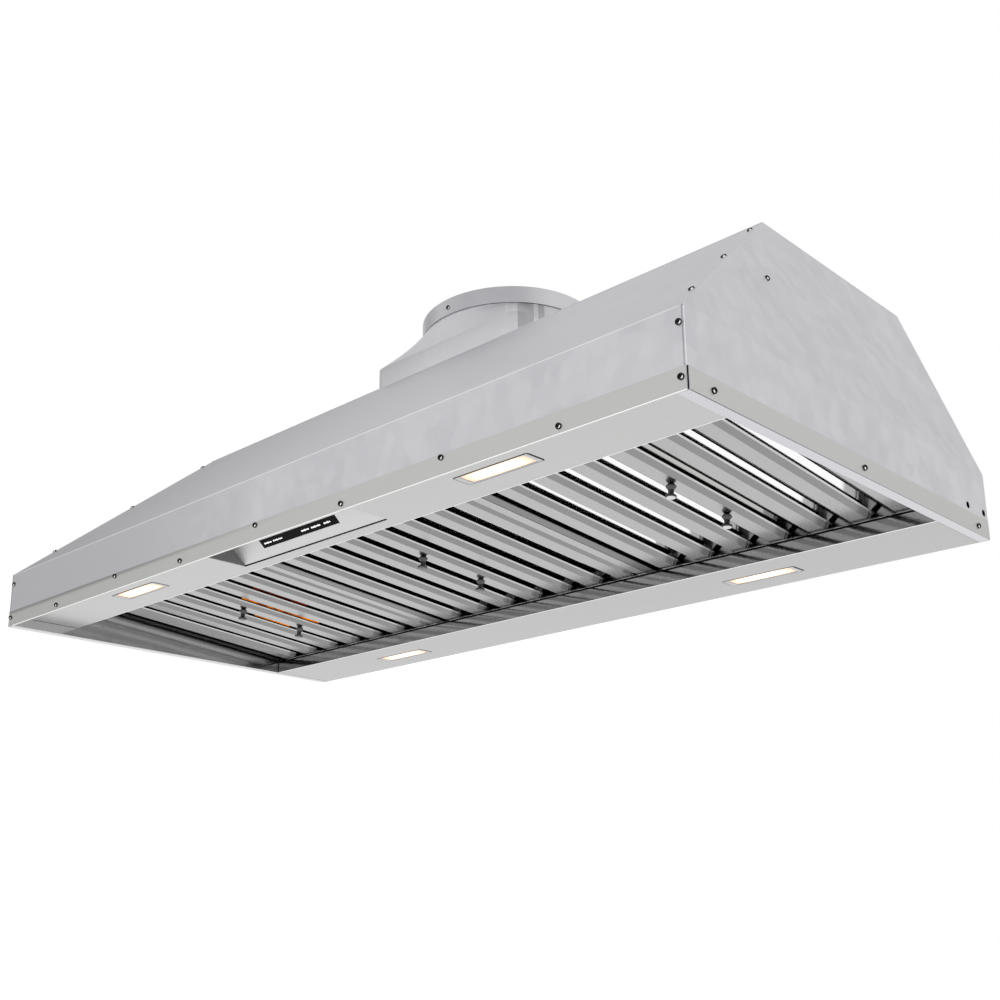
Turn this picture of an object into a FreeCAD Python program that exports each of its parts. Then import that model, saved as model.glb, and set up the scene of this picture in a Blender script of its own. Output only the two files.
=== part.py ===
import FreeCAD, Part
import math
import os
import Sketcher

# Range hood liner with three baffle filters, four lamps, two blowers and a round duct collar.
# X runs along the length, Y from the front to the rear and Z up, in millimetres.
# The origin is the middle of the bottom rim plane.

Vector = FreeCAD.Vector
doc = FreeCAD.newDocument("range_hood_liner")
sheet = doc.addObject("Spreadsheet::Sheet", "Sizes")
nodes = []


class Size:
    """A length or a ratio: its value now and the sheet expression that it follows."""

    def __init__(self, value, text, fixed=False):
        self.value = value
        self.text = text
        self.fixed = fixed

    def is_number(self, number):
        return self.fixed and self.value == number

    def __add__(self, other):
        other = as_size(other)
        if other.is_number(0):
            return self
        if self.is_number(0):
            return other
        return Size(self.value + other.value, f"({self.text} + {other.text})")

    def __sub__(self, other):
        other = as_size(other)
        if other.is_number(0):
            return self
        return Size(self.value - other.value, f"({self.text} - {other.text})")

    def __mul__(self, other):
        other = as_size(other)
        if self.is_number(0) or other.is_number(0):
            return as_size(0)
        if other.is_number(1):
            return self
        if self.is_number(1):
            return other
        return Size(self.value * other.value, f"({self.text} * {other.text})")

    def __truediv__(self, other):
        other = as_size(other)
        if self.is_number(0) or other.is_number(1):
            return self
        return Size(self.value / other.value, f"({self.text} / {other.text})")

    def __neg__(self):
        return self * -1

    def __radd__(self, other):
        return as_size(other) + self

    def __rsub__(self, other):
        return as_size(other) - self

    def __rmul__(self, other):
        return as_size(other) * self


def as_size(number):
    """A plain number as a Size that follows nothing."""
    if isinstance(number, Size):
        return number
    return Size(float(number), f"({float(number):.6f})", True)


def root(area):
    """The square root of a Size."""
    return Size(math.sqrt(area.value), f"sqrt({area.text})")


def size(alias, value):
    """Writes one driving dimension into the sheet and gives it back as a Size."""
    row = size.rows = size.rows + 1
    sheet.set(f"A{row}", alias)
    sheet.set(f"B{row}", str(value))
    sheet.setAlias(f"B{row}", alias)
    return Size(float(value), f"Sizes.{alias}")


size.rows = 0

# Casing
overall_length = size("overall_length", 1178)
overall_depth = size("overall_depth", 591)
skirt_height = size("skirt_height", 78)
body_height = size("body_height", 308)
side_inset = size("side_inset", 81)
front_run = size("front_run", 280)
casing_sheet = size("casing_sheet", 0.8)
flange_width = size("flange_width", 14)

# Stainless underside
trim_sheet = size("trim_sheet", 0.8)
band_height = size("band_height", 22)
rim_width = size("rim_width", 13)
inner_wall_height = size("inner_wall_height", 70)
strip_recess = size("strip_recess", 13.8)
front_strip_depth = size("front_strip_depth", 103.5)
rear_strip_depth = size("rear_strip_depth", 109.5)
front_ledge_height = size("front_ledge_height", 52)
rear_ledge_height = size("rear_ledge_height", 20)
ledge_width = size("ledge_width", 14)
corner_slot = size("corner_slot", 1.6)
corner_notch = size("corner_notch", 5)
corner_seam = size("corner_seam", 2.2)

# Control pocket
pocket_width = size("pocket_width", 264)
pocket_rear = size("pocket_rear", 84.5)
pocket_front = size("pocket_front", 11)
pocket_rise = size("pocket_rise", 43.5)
pocket_slant_run = size("pocket_slant_run", 48.5)
pocket_tab = size("pocket_tab", 6)
glass_width = size("glass_width", 141)
glass_height = size("glass_height", 26)
glass_thickness = size("glass_thickness", 2.4)
glass_from_edge = size("glass_from_edge", 14.5)
glass_shift = size("glass_shift", -9)
glass_gap = size("glass_gap", 0.3)
module_margin = size("module_margin", 5)
module_depth = size("module_depth", 11)

# Lamps
lamp_spacing = size("lamp_spacing", 651)
front_lamp_inset = size("front_lamp_inset", 54.5)
rear_lamp_inset = size("rear_lamp_inset", 52.5)
bezel_length = size("bezel_length", 101)
bezel_width = size("bezel_width", 26.5)
bezel_corner = size("bezel_corner", 3)
bezel_flange = size("bezel_flange", 4)
bezel_flange_thickness = size("bezel_flange_thickness", 1.2)
bezel_gap = size("bezel_gap", 0.7)
window_length = size("window_length", 87)
window_width = size("window_width", 22.5)
window_corner = size("window_corner", 3)
window_gap = size("window_gap", 0.15)
diffuser_recess = size("diffuser_recess", 0.3)
diffuser_shoulder = size("diffuser_shoulder", 3)
diffuser_shoulder_thickness = size("diffuser_shoulder_thickness", 2)
lamp_housing_height = size("lamp_housing_height", 18)
lamp_housing_wall = size("lamp_housing_wall", 2)

# Filters
filter_gap = size("filter_gap", 1)
filter_height = size("filter_height", 22)
filter_rail = size("filter_rail", 13)
filter_sheet = size("filter_sheet", 0.8)
bar_count = int(size("bar_count", 7).value)
bar_side_gap = size("bar_side_gap", 10.65)
bar_width = size("bar_width", 18.9)
bar_height = size("bar_height", 5.7)
bar_flare = size("bar_flare", 8.4)
hood_bar_base = size("hood_bar_base", 40)
hood_bar_top = size("hood_bar_top", 20)
hood_bar_height = size("hood_bar_height", 9)
knob_radius = size("knob_radius", 6.2)
knob_waist = size("knob_waist", 3.2)
knob_length = size("knob_length", 17)
knob_disc = size("knob_disc", 2.6)
knob_flare = size("knob_flare", 8)
rear_knob_inset = size("rear_knob_inset", 109)
knob_spacing = size("knob_spacing", 107)

# Duct
duct_rear_inset = size("duct_rear_inset", 155.5)
base_width = size("base_width", 273)
base_corner = size("base_corner", 18)
base_wall = size("base_wall", 41.6)
base_flange = size("base_flange", 12)
hopper_height = size("hopper_height", 45)
neck_height = size("neck_height", 14)
collar_radius = size("collar_radius", 124)
collar_height = size("collar_height", 23.8)
collar_step = size("collar_step", 0.7)
collar_seat_height = size("collar_seat_height", 14.8)
collar_gap = size("collar_gap", 0.15)
opening_margin = size("opening_margin", 6)
rod_radius = size("rod_radius", 2)
rod_below_rim = size("rod_below_rim", 7.5)
rod_end_inset = size("rod_end_inset", 0.05)
stop_width = size("stop_width", 16)
stop_length = size("stop_length", 7)
stop_thickness = size("stop_thickness", 1.2)
running_gap = size("running_gap", 0.05)
flap_gap = size("flap_gap", 4)
flap_thickness = size("flap_thickness", 0.8)
knuckle_wall = size("knuckle_wall", 1.2)
knuckle_length = size("knuckle_length", 24)
knuckle_gap = size("knuckle_gap", 0.4)
knuckle_pairs = int(size("knuckle_pairs", 2).value)
knuckle_spread = size("knuckle_spread", 96)

# Blowers
blower_gap = size("blower_gap", 60)
blower_width = size("blower_width", 94)
drum_radius = size("drum_radius", 108)
drum_drop = size("drum_drop", 117)
wheel_radius = size("wheel_radius", 82)
wheel_inner = size("wheel_inner", 66)
wheel_width = size("wheel_width", 74)
wheel_plate = size("wheel_plate", 2)
wheel_shift = size("wheel_shift", 9)
blade_count = int(size("blade_count", 28).value)
blade_thickness = size("blade_thickness", 1.2)
hub_radius = size("hub_radius", 16)
hub_length = size("hub_length", 24)
shaft_radius = size("shaft_radius", 5)
shaft_hole_gap = size("shaft_hole_gap", 6)
motor_radius = size("motor_radius", 58)
motor_length = size("motor_length", 76)
motor_edge = size("motor_edge", 8)
shaft_reach = size("shaft_reach", 60)
inlet_radius = size("inlet_radius", 60)
inlet_lip = size("inlet_lip", 8)
inlet_depth = size("inlet_depth", 10)
inlet_gap = size("inlet_gap", 0.15)
blower_flange = size("blower_flange", 8)

# Electrics
box_end_gap = size("box_end_gap", 87.2)
box_length = size("box_length", 170)
box_depth = size("box_depth", 124)
box_height = size("box_height", 62)
box_rear_gap = size("box_rear_gap", 24)
box_wall = size("box_wall", 1)
board_length = size("board_length", 96)
board_depth = size("board_depth", 84)
board_thickness = size("board_thickness", 1.6)
board_inset = size("board_inset", 8)
post_radius = size("post_radius", 3)
post_height = size("post_height", 10)
post_inset = size("post_inset", 6)
can_radius = size("can_radius", 16)
can_height = size("can_height", 48)
can_spacing = size("can_spacing", 42)
can_inset = size("can_inset", 30)
cable_inset = size("cable_inset", 20)
cable_radius = size("cable_radius", 8)
grommet_wall = size("grommet_wall", 3)
grommet_lip = size("grommet_lip", 3)
grommet_gap = size("grommet_gap", 0.1)

# Fasteners and holes
screw_head_radius = size("screw_head_radius", 3.1)
screw_head_height = size("screw_head_height", 2.2)
screw_shank_radius = size("screw_shank_radius", 1.9)
screw_length = size("screw_length", 7)
screw_hole_gap = size("screw_hole_gap", 0.1)
recess_length = size("recess_length", 3.4)
recess_width = size("recess_width", 0.9)
recess_depth = size("recess_depth", 1)
band_screw_inset = size("band_screw_inset", 139)
band_screw_height = size("band_screw_height", 7.7)
upper_screw_height = size("upper_screw_height", 18.6)
corner_screw_inset = size("corner_screw_inset", 6.8)
corner_screw_low = size("corner_screw_low", 13)
corner_screw_high = size("corner_screw_high", 63)
hip_screw_inset = size("hip_screw_inset", 9.7)
side_screw_inset = size("side_screw_inset", 34.5)
side_screw_shift = size("side_screw_shift", 3.5)
side_screw_height = size("side_screw_height", 10)
slope_screw_height = size("slope_screw_height", 201.5)
slope_screw_front = size("slope_screw_front", 217)
mount_hole_radius = size("mount_hole_radius", 4)
mount_hole_height = size("mount_hole_height", 30)
mount_hole_inset = size("mount_hole_inset", 10.5)
mount_hole_spacing = size("mount_hole_spacing", 41)
top_screw_inset = size("top_screw_inset", 47.2)
collar_screw_drop = size("collar_screw_drop", 12.9)

HIP_SCREW_SHARES = (0.18, 0.56, 0.93)
REAR_SCREW_SHARES = (0.35, 0.8)

# Lines and planes that more than one piece follows
half_length = overall_length / 2
half_depth = overall_depth / 2
casing_x = half_length - trim_sheet
casing_y = half_depth - trim_sheet
lip_width = trim_sheet * 2 + casing_sheet
inner_x = half_length - rim_width
top_under = body_height - casing_sheet
slope_rise = top_under - skirt_height
top_front = front_run - casing_y
front_wall_y = front_strip_depth - half_depth
rear_wall_y = half_depth - rear_strip_depth
strip_top = strip_recess + trim_sheet
filter_run = rear_wall_y - front_wall_y
filter_lean = (front_ledge_height - rear_ledge_height) / filter_run
filter_stretch = root(filter_lean * filter_lean + 1)
duct_y = half_depth - duct_rear_inset
zero = as_size(0)


def bind(item, name, amount):
    """Ties one property of an object to the sheet."""
    item.setExpression(name, as_size(amount).text)


def keep(item, name):
    """Names an object as one of the finished pieces."""
    item.Label = name
    nodes.append(item)
    return item


def new_body(name):
    return doc.addObject("PartDesign::Body", name)


def new_sketch(body, axis, level):
    """Sketch square to an axis of the body, at a level along it."""
    role = {"x": "YZ_Plane", "y": "XZ_Plane", "z": "XY_Plane"}[axis]
    plane = next(item for item in body.Origin.OriginFeatures if item.Role == role)
    sketch = body.newObject("Sketcher::SketchObject", "outline")
    sketch.AttachmentSupport = [(plane, "")]
    sketch.MapMode = "FlatFace"
    level = as_size(level)
    bind(sketch, "AttachmentOffset.Base.z", -level if axis == "y" else level)
    return sketch


def draw_outline(sketch, points):
    """Closed polygon whose corners are held by their distances from the sketch's origin."""
    corners = [(as_size(across), as_size(along)) for across, along in points]
    first = sketch.GeometryCount
    count = len(corners)
    spots = [Vector(across.value, along.value, 0) for across, along in corners]
    lines = [Part.LineSegment(spots[i], spots[(i + 1) % count]) for i in range(count)]
    sketch.addGeometry(lines, False)
    joins = []
    for i in range(count):
        joins.append(Sketcher.Constraint("Coincident", first + i, 2, first + (i + 1) % count, 1))
    sketch.addConstraint(joins)
    for i, (across, along) in enumerate(corners):
        for kind, amount in (("DistanceX", across), ("DistanceY", along)):
            index = sketch.addConstraint(Sketcher.Constraint(kind, -1, 1, first + i, 1, amount.value))
            sketch.setExpression(f"Constraints[{index}]", amount.text)


def pad(body, axis, points, low, high):
    """Adds a polygon between two levels along an axis."""
    low = as_size(low)
    high = as_size(high)
    sketch = new_sketch(body, axis, high if axis == "y" else low)
    draw_outline(sketch, points)
    feature = body.newObject("PartDesign::Pad", "pad")
    feature.Profile = sketch
    bind(feature, "Length", high - low)
    return body


def pocket(body, axis, outlines, low, high):
    """Cuts polygons between two levels along an axis, and makes sure that material went."""
    low = as_size(low)
    high = as_size(high)
    doc.recompute()
    before = body.Shape.Volume
    sketch = new_sketch(body, axis, low if axis == "y" else high)
    for points in outlines:
        draw_outline(sketch, points)
    feature = body.newObject("PartDesign::Pocket", "pocket")
    feature.Profile = sketch
    bind(feature, "Length", high - low)
    doc.recompute()
    if not body.Shape.Volume < before:
        raise RuntimeError("a pocket cut nothing in " + body.Name)
    return body


def turned(name, points):
    """Body turned about Z from a polygon of radius and height."""
    body = new_body(name)
    sketch = new_sketch(body, "y", 0)
    draw_outline(sketch, points)
    feature = body.newObject("PartDesign::Revolution", "turn")
    feature.Profile = sketch
    feature.ReferenceAxis = (sketch, ["V_Axis"])
    feature.Angle = 360
    return body


def round_edges(body, radius, axis):
    """Rounds every edge of the body that runs along an axis."""
    doc.recompute()
    base = body.Tip
    names = []
    for index, edge in enumerate(base.Shape.Edges):
        if edge.Curve.TypeId == "Part::GeomLine" and abs(edge.Curve.Direction.dot(axis)) > 0.999:
            names.append(f"Edge{index + 1}")
    fillet = body.newObject("PartDesign::Fillet", "round")
    fillet.Base = (base, names)
    bind(fillet, "Radius", radius)
    return body


def rectangle(x_low, x_high, y_low, y_high):
    return [(x_low, y_low), (x_high, y_low), (x_high, y_high), (x_low, y_high)]


def slab(name, middle, length, width, low, high, corner):
    """Flat block with rounded upright edges."""
    body = new_body(name)
    x, y = middle
    pad(body, "z", rectangle(x - length / 2, x + length / 2, y - width / 2, y + width / 2), low, high)
    return round_edges(body, corner, Vector(0, 0, 1))


def box(name, x_low, x_high, y_low, y_high, z_low, z_high):
    block = doc.addObject("Part::Box", name)
    for side, place, low, high in (
        ("Length", "x", x_low, x_high),
        ("Width", "y", y_low, y_high),
        ("Height", "z", z_low, z_high),
    ):
        low = as_size(low)
        bind(block, side, as_size(high) - low)
        bind(block, "Placement.Base." + place, low)
    return block


def rod_along_x(name, radius, x_low, x_high, y, z):
    rod = doc.addObject("Part::Cylinder", name)
    rod.Placement = FreeCAD.Placement(Vector(), FreeCAD.Rotation(Vector(0, 1, 0), 90))
    x_low = as_size(x_low)
    bind(rod, "Radius", radius)
    bind(rod, "Height", as_size(x_high) - x_low)
    bind(rod, "Placement.Base.x", x_low)
    bind(rod, "Placement.Base.y", y)
    bind(rod, "Placement.Base.z", z)
    return rod


def post(name, radius, x, y, z_low, z_high):
    cylinder = doc.addObject("Part::Cylinder", name)
    z_low = as_size(z_low)
    bind(cylinder, "Radius", radius)
    bind(cylinder, "Height", as_size(z_high) - z_low)
    bind(cylinder, "Placement.Base.x", x)
    bind(cylinder, "Placement.Base.y", y)
    bind(cylinder, "Placement.Base.z", z_low)
    return cylinder


def fuse(name, pieces):
    joined = doc.addObject("Part::MultiFuse", name)
    joined.Shapes = pieces
    joined.Refine = True
    return joined


def cut(name, base, *tools):
    for tool in tools:
        result = doc.addObject("Part::Cut", name)
        result.Base = base
        result.Tool = tool
        base = result
    return base


def group(name, pieces):
    bundle = doc.addObject("Part::Compound", name)
    bundle.Links = pieces
    return bundle


def mirrored(source):
    """The same piece on the other side of the middle plane."""
    twin = doc.addObject("Part::Mirroring", "twin")
    twin.Source = source
    twin.Base = Vector(0, 0, 0)
    twin.Normal = Vector(1, 0, 0)
    return twin


def lay_on_ledges(item, x):
    """Places a piece of a filter, modelled from the rear ledge's edge, on the leaning filter plane."""
    item.Placement = FreeCAD.Placement(Vector(), FreeCAD.Rotation(Vector(1, 0, 0), -5))
    bind(item, "Placement.Base.x", x)
    bind(item, "Placement.Base.y", rear_wall_y)
    bind(item, "Placement.Base.z", rear_ledge_height)
    item.setExpression("Placement.Rotation.Angle", f"-atan({filter_lean.text})")
    return item


def left_normal(start, end):
    """Unit direction to the left of the way from one point to the next."""
    run = end[0] - start[0]
    rise = end[1] - start[1]
    if start[0].text == end[0].text:
        return as_size(-math.copysign(1, rise.value)), zero
    if start[1].text == end[1].text:
        return zero, as_size(math.copysign(1, run.value))
    length = root(run * run + rise * rise)
    return -rise / length, run / length


def offset_path(path, distance):
    """An open path moved to its left, with its corners mitred."""
    path = [(as_size(across), as_size(along)) for across, along in path]
    normals = [left_normal(start, end) for start, end in zip(path, path[1:])]
    moved = []
    for i, (across, along) in enumerate(path):
        before = normals[max(i - 1, 0)]
        after = normals[min(i, len(normals) - 1)]
        share = distance / (before[0] * after[0] + before[1] * after[1] + 1)
        moved.append((across + share * (before[0] + after[0]), along + share * (before[1] + after[1])))
    return moved


def bent_sheet(path, thickness):
    """Outline of a folded sheet: its outer line, and that line moved left by the thickness."""
    return list(path) + offset_path(path, thickness)[::-1]


# Fasteners: a seat is a point on the outer face and the direction that the head faces
def screw_shape():
    """One pan-head screw with a cross recess, its seat at the origin and its head up."""
    head = Part.makeCylinder(screw_head_radius.value, screw_head_height.value)
    rim = [edge for edge in head.Edges if edge.CenterOfMass.z > screw_head_height.value * 0.9]
    rim = [edge for edge in rim if edge.Curve.TypeId == "Part::GeomCircle"]
    head = head.makeFillet(screw_head_height.value * 0.6, rim)
    for length, width in ((recess_length, recess_width), (recess_width, recess_length)):
        corner = Vector(-length.value / 2, -width.value / 2, screw_head_height.value - recess_depth.value)
        head = head.cut(Part.makeBox(length.value, width.value, recess_depth.value * 2, corner))
    shank_base = Vector(0, 0, -screw_length.value)
    shank = Part.makeCylinder(screw_shank_radius.value, screw_length.value, shank_base)
    return head.fuse(shank).removeSplitter()


def on_seat(shape, seat):
    """A copy of a shape that stands on a seat."""
    point, facing = seat
    copy = shape.copy()
    copy.Placement = FreeCAD.Placement(point, FreeCAD.Rotation(Vector(0, 0, 1), facing))
    return copy


def shape_object(name, shape):
    feature = doc.addObject("Part::Feature", name)
    feature.Shape = shape
    return feature


def screws(name, seats):
    pattern = screw_shape()
    solids = [on_seat(pattern, seat) for seat in seats]
    return keep(shape_object(name, Part.makeCompound(solids)), name)


def drilled(item, seats, radius=None):
    """An object with a hole through it under each seat."""
    if radius is None:
        radius = screw_shank_radius + screw_hole_gap
    depth = screw_length.value
    drill = Part.makeCylinder(radius.value, depth * 2, Vector(0, 0, -depth))
    drills = shape_object("drills", Part.makeCompound([on_seat(drill, seat) for seat in seats]))
    return cut("drilled", item, drills)


def seat_at(x, y, z, facing):
    return Vector(as_size(x).value, as_size(y).value, as_size(z).value), facing


def both_sides(seats):
    """Seats and their mirror images across the middle plane."""
    twins = []
    for point, facing in seats:
        twins.append((Vector(-point.x, point.y, point.z), Vector(-facing.x, facing.y, facing.z)))
    return seats + twins


FRONT = Vector(0, -1, 0)
REAR = Vector(0, 1, 0)
RIGHT = Vector(1, 0, 0)
UP = Vector(0, 0, 1)
SLOPE_UP = Vector(0, -slope_rise.value, front_run.value).normalize()
LEAN_OUT = Vector(slope_rise.value, 0, side_inset.value).normalize()

band_screw_pitch = (half_length - band_screw_inset) / 1.5
corner_screw_x = half_length - corner_screw_inset
front_band_seats = both_sides(
    [seat_at(band_screw_pitch * share, -half_depth, band_screw_height, FRONT) for share in (0.5, 1.5)]
    + [seat_at(band_screw_pitch, -half_depth, upper_screw_height, FRONT)]
    + [seat_at(corner_screw_x, -half_depth, corner_screw_low, FRONT)]
) + [seat_at(0, -half_depth, upper_screw_height, FRONT)]
front_corner_seats = both_sides([seat_at(corner_screw_x, -casing_y, corner_screw_high, FRONT)])


def hip_seat(share):
    x = casing_x - side_inset * share - hip_screw_inset
    return seat_at(x, front_run * share - casing_y, skirt_height + slope_rise * share, SLOPE_UP)


hip_seats = both_sides([hip_seat(share) for share in HIP_SCREW_SHARES])
side_screw_pitch = half_depth - side_screw_inset
side_band_seats = [
    seat_at(half_length, side_screw_pitch * step + side_screw_shift, side_screw_height, RIGHT) for step in (-1, 0, 1)
]
slope_share = (slope_screw_height - skirt_height) / slope_rise
slope_seats = [
    seat_at(casing_x - side_inset * slope_share, slope_screw_front - half_depth, slope_screw_height, LEAN_OUT)
]
mount_seats = [
    seat_at(casing_x, half_depth - mount_hole_inset - mount_hole_spacing * step, mount_hole_height, RIGHT)
    for step in (0, 1)
]
rear_band_seats = both_sides(
    [seat_at(band_screw_pitch * share, half_depth, band_screw_height, REAR) for share in (0.5, 1.5)]
)


def rear_seat(share):
    x = casing_x - side_inset * share - hip_screw_inset
    return seat_at(x, casing_y, skirt_height + slope_rise * share, REAR)


rear_side_seats = both_sides(
    [rear_seat(share) for share in REAR_SCREW_SHARES]
    + [seat_at(corner_screw_x, casing_y, corner_screw_high, REAR)]
)
top_screw_pitch = (casing_x - side_inset - top_screw_inset) / 2
top_front_seats = both_sides(
    [seat_at(top_screw_pitch * step, top_front + flange_width / 2, body_height, UP) for step in (1, 2)]
)
top_rear_seats = both_sides(
    [seat_at(top_screw_pitch * step, casing_y - flange_width / 2, body_height, UP) for step in (1, 2)]
)


def casing_pieces():
    """Galvanised casing: folded front, two folded sides, rear and top."""
    hip_far = half_length + side_inset
    sheet_x = casing_x - casing_sheet
    front_path = [
        (top_front + flange_width, top_under),
        (top_front, top_under),
        (-casing_y, skirt_height),
        (-casing_y, trim_sheet),
    ]
    front = pad(new_body("front_sheet"), "x", bent_sheet(front_path, casing_sheet), -sheet_x, sheet_x)
    lean_path = [(casing_x - side_inset, top_under), (casing_x, skirt_height), (casing_x, trim_sheet)]
    inner_lean = offset_path(lean_path[::-1], casing_sheet)[::-1]
    over = (inner_lean[0][0] - inner_lean[1][0], inner_lean[0][1] - inner_lean[1][1])
    above_top = (inner_lean[1][0] + over[0] * 1.1, inner_lean[1][1] + over[1] * 1.1)
    hip_cuts = []
    for side in (1, -1):
        corners = [above_top, inner_lean[1], (hip_far, inner_lean[1][1]), (hip_far, above_top[1])]
        hip_cuts.append([(across * side, along) for across, along in corners])
    pocket(front, "y", hip_cuts, -half_depth, half_depth)
    seam_x = sheet_x - corner_seam
    seams = [
        rectangle(seam_x, overall_length, band_height, skirt_height),
        rectangle(-overall_length, -seam_x, band_height, skirt_height),
    ]
    pocket(front, "y", seams, -half_depth, casing_sheet * 2 - casing_y)
    front = drilled(front, front_band_seats + front_corner_seats + hip_seats)
    front = drilled(front, top_front_seats + transition_seats())
    keep(front, "front_panel")

    lean_sheet = bent_sheet(lean_path[::-1], casing_sheet)
    side = pad(new_body("side_sheet"), "y", lean_sheet, -casing_y, casing_y)
    ahead = [(-casing_y, skirt_height), (top_front, top_under), (-half_depth, top_under), (-half_depth, skirt_height)]
    pocket(side, "x", [ahead], inner_x - side_inset - flange_width, half_length)

    behind_front = offset_path(front_path, casing_sheet)
    hip_path = [behind_front[1], behind_front[2], (behind_front[3][0], band_height)]
    hip_flange = pad(new_body("hip_flange"), "x", bent_sheet(hip_path, casing_sheet), 0, casing_x)
    bottom = band_height - flange_width
    outside = [inner_lean[0], inner_lean[1], (inner_lean[2][0], bottom), (hip_far, bottom), (hip_far, top_under)]
    middle = [(across - flange_width, along) for across, along in inner_lean]
    inside = [middle[0], middle[1], (middle[2][0], bottom), (-hip_far, bottom), (-hip_far, top_under)]
    pocket(hip_flange, "y", [outside, inside], -half_depth, half_depth)

    below_top = (inner_lean[1][0] + over[0] * 0.98, inner_lean[1][1] + over[1] * 0.98)
    rear_low = [(inner_lean[2][0], trim_sheet), inner_lean[1], below_top]
    rear_strip = rear_low + [(across - flange_width, along) for across, along in rear_low[::-1]]
    rear_face = casing_y - casing_sheet
    rear_flange = pad(new_body("rear_flange"), "y", rear_strip, rear_face - casing_sheet, rear_face)
    notch = box(
        "corner_relief",
        casing_x - corner_notch,
        half_length,
        -half_depth,
        corner_notch - half_depth,
        zero,
        band_height,
    )
    right = cut("side_folded", fuse("side_joined", [side, hip_flange, rear_flange]), notch)
    right_corner = [seat for seat in front_corner_seats + hip_seats + rear_side_seats if seat[0].x > 0]
    right = drilled(right, right_corner + side_band_seats + slope_seats)
    right = drilled(right, mount_seats, mount_hole_radius)
    keep(right, "right_side_panel")
    keep(mirrored(right), "left_side_panel")

    rear_path = [
        (casing_y, trim_sheet),
        (casing_y, top_under),
        (casing_y - flange_width, top_under),
    ]
    rear = pad(new_body("rear_sheet"), "x", bent_sheet(rear_path, casing_sheet), -sheet_x, sheet_x)
    pocket(rear, "y", hip_cuts, -half_depth, half_depth)
    rear = drilled(rear, rear_band_seats + rear_side_seats)
    rear = drilled(rear, top_rear_seats + transition_seats())
    keep(rear, "rear_panel")


def duct_opening(grow):
    """Corner values of the square opening under the duct, grown on every side."""
    reach = base_width / 2 - opening_margin + grow
    return -reach, reach, duct_y - reach, duct_y + reach


def transition_seats():
    """Screws round the flange of the duct's base."""
    ring = base_width / 2 + base_flange / 2
    far = base_width / 3
    seats = []
    for shift in (-far, far):
        seats.append(seat_at(shift, duct_y - ring, body_height + casing_sheet, UP))
        seats.append(seat_at(shift, duct_y + ring, body_height + casing_sheet, UP))
        seats.append(seat_at(-ring, duct_y + shift, body_height + casing_sheet, UP))
        seats.append(seat_at(ring, duct_y + shift, body_height + casing_sheet, UP))
    return seats


box_far = box_end_gap + side_inset - casing_x
box_near = box_far + box_length
box_rear = casing_y - box_rear_gap
box_front = box_rear - box_depth
cable_x = box_far + can_inset
cable_y = box_rear - cable_inset


def top_piece():
    half_top = casing_x - side_inset
    plate = box("top_sheet", -half_top, half_top, top_front, casing_y, top_under, body_height)
    opening = box("duct_hole", *duct_opening(0), top_under - 1, body_height + 1)
    hole_radius = cable_radius + grommet_wall + grommet_gap
    cable_hole = post("cable_hole", hole_radius, cable_x, cable_y, top_under - 1, body_height + 1)
    top = cut("top_open", plate, opening, cable_hole)
    keep(drilled(top, top_front_seats + top_rear_seats + transition_seats()), "top_panel")


def square_wire(half, corner, z):
    """Rounded square with its eight edges in order round the duct's axis."""
    edges = []
    flat = half - corner
    for quarter in range(4):
        turn = FreeCAD.Rotation(UP, 90 * quarter)
        centre = Vector(0, duct_y.value, z)
        start = centre + turn.multVec(Vector(half, -flat, 0))
        end = centre + turn.multVec(Vector(half, flat, 0))
        diagonal = flat + corner * math.sqrt(0.5)
        bulge = centre + turn.multVec(Vector(diagonal, diagonal, 0))
        after = centre + turn.multVec(Vector(flat, half, 0))
        edges.append(Part.LineSegment(start, end).toShape())
        edges.append(Part.Arc(end, bulge, after).toShape())
    return Part.Wire(edges)


def round_wire(radius, z, half, corner):
    """Circle cut into eight arcs that face the edges of the rounded square."""
    edges = []
    reach = math.degrees(math.atan2(half - corner, half))
    for quarter in range(4):
        for low, high in ((-reach, reach), (reach, 90 - reach)):
            spots = []
            for angle in (low, (low + high) / 2, high):
                way = math.radians(90 * quarter + angle)
                spots.append(Vector(radius * math.cos(way), duct_y.value + radius * math.sin(way), z))
            edges.append(Part.Arc(*spots).toShape())
    return Part.Wire(edges)


def funnel(shrink, extend):
    """Solid of the duct's base, hopper and neck, drawn in by the sheet's thickness for its inside."""
    half = base_width.value / 2 - shrink
    corner = base_corner.value - shrink
    radius = neck_radius.value - shrink
    base_z = body_height.value - extend
    wall_z = body_height.value + base_wall.value
    neck_z = wall_z + hopper_height.value
    wall = Part.Face(square_wire(half, corner, base_z)).extrude(Vector(0, 0, wall_z - base_z))
    rings = [square_wire(half, corner, wall_z), round_wire(radius, neck_z, half, corner)]
    hopper = Part.makeLoft(rings, True, True)
    neck = Part.makeCylinder(radius, neck_height.value + extend, Vector(0, duct_y.value, neck_z))
    return wall.fuse([hopper, neck])


collar_top = body_height + base_wall + hopper_height + collar_height
collar_low = collar_top - collar_height
collar_inner = collar_radius - casing_sheet
seat_radius = collar_radius - collar_step
neck_radius = seat_radius - casing_sheet - collar_gap
rod_z = collar_top - rod_below_rim


def collar_seats():
    """Four screws round the ring."""
    seats = []
    for angle in (0, 90, 180, 270):
        way = math.radians(angle)
        facing = Vector(math.cos(way), math.sin(way), 0)
        point = Vector(0, duct_y.value, collar_top.value - collar_screw_drop.value) + facing * seat_radius.value
        seats.append((point, facing))
    return seats


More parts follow.
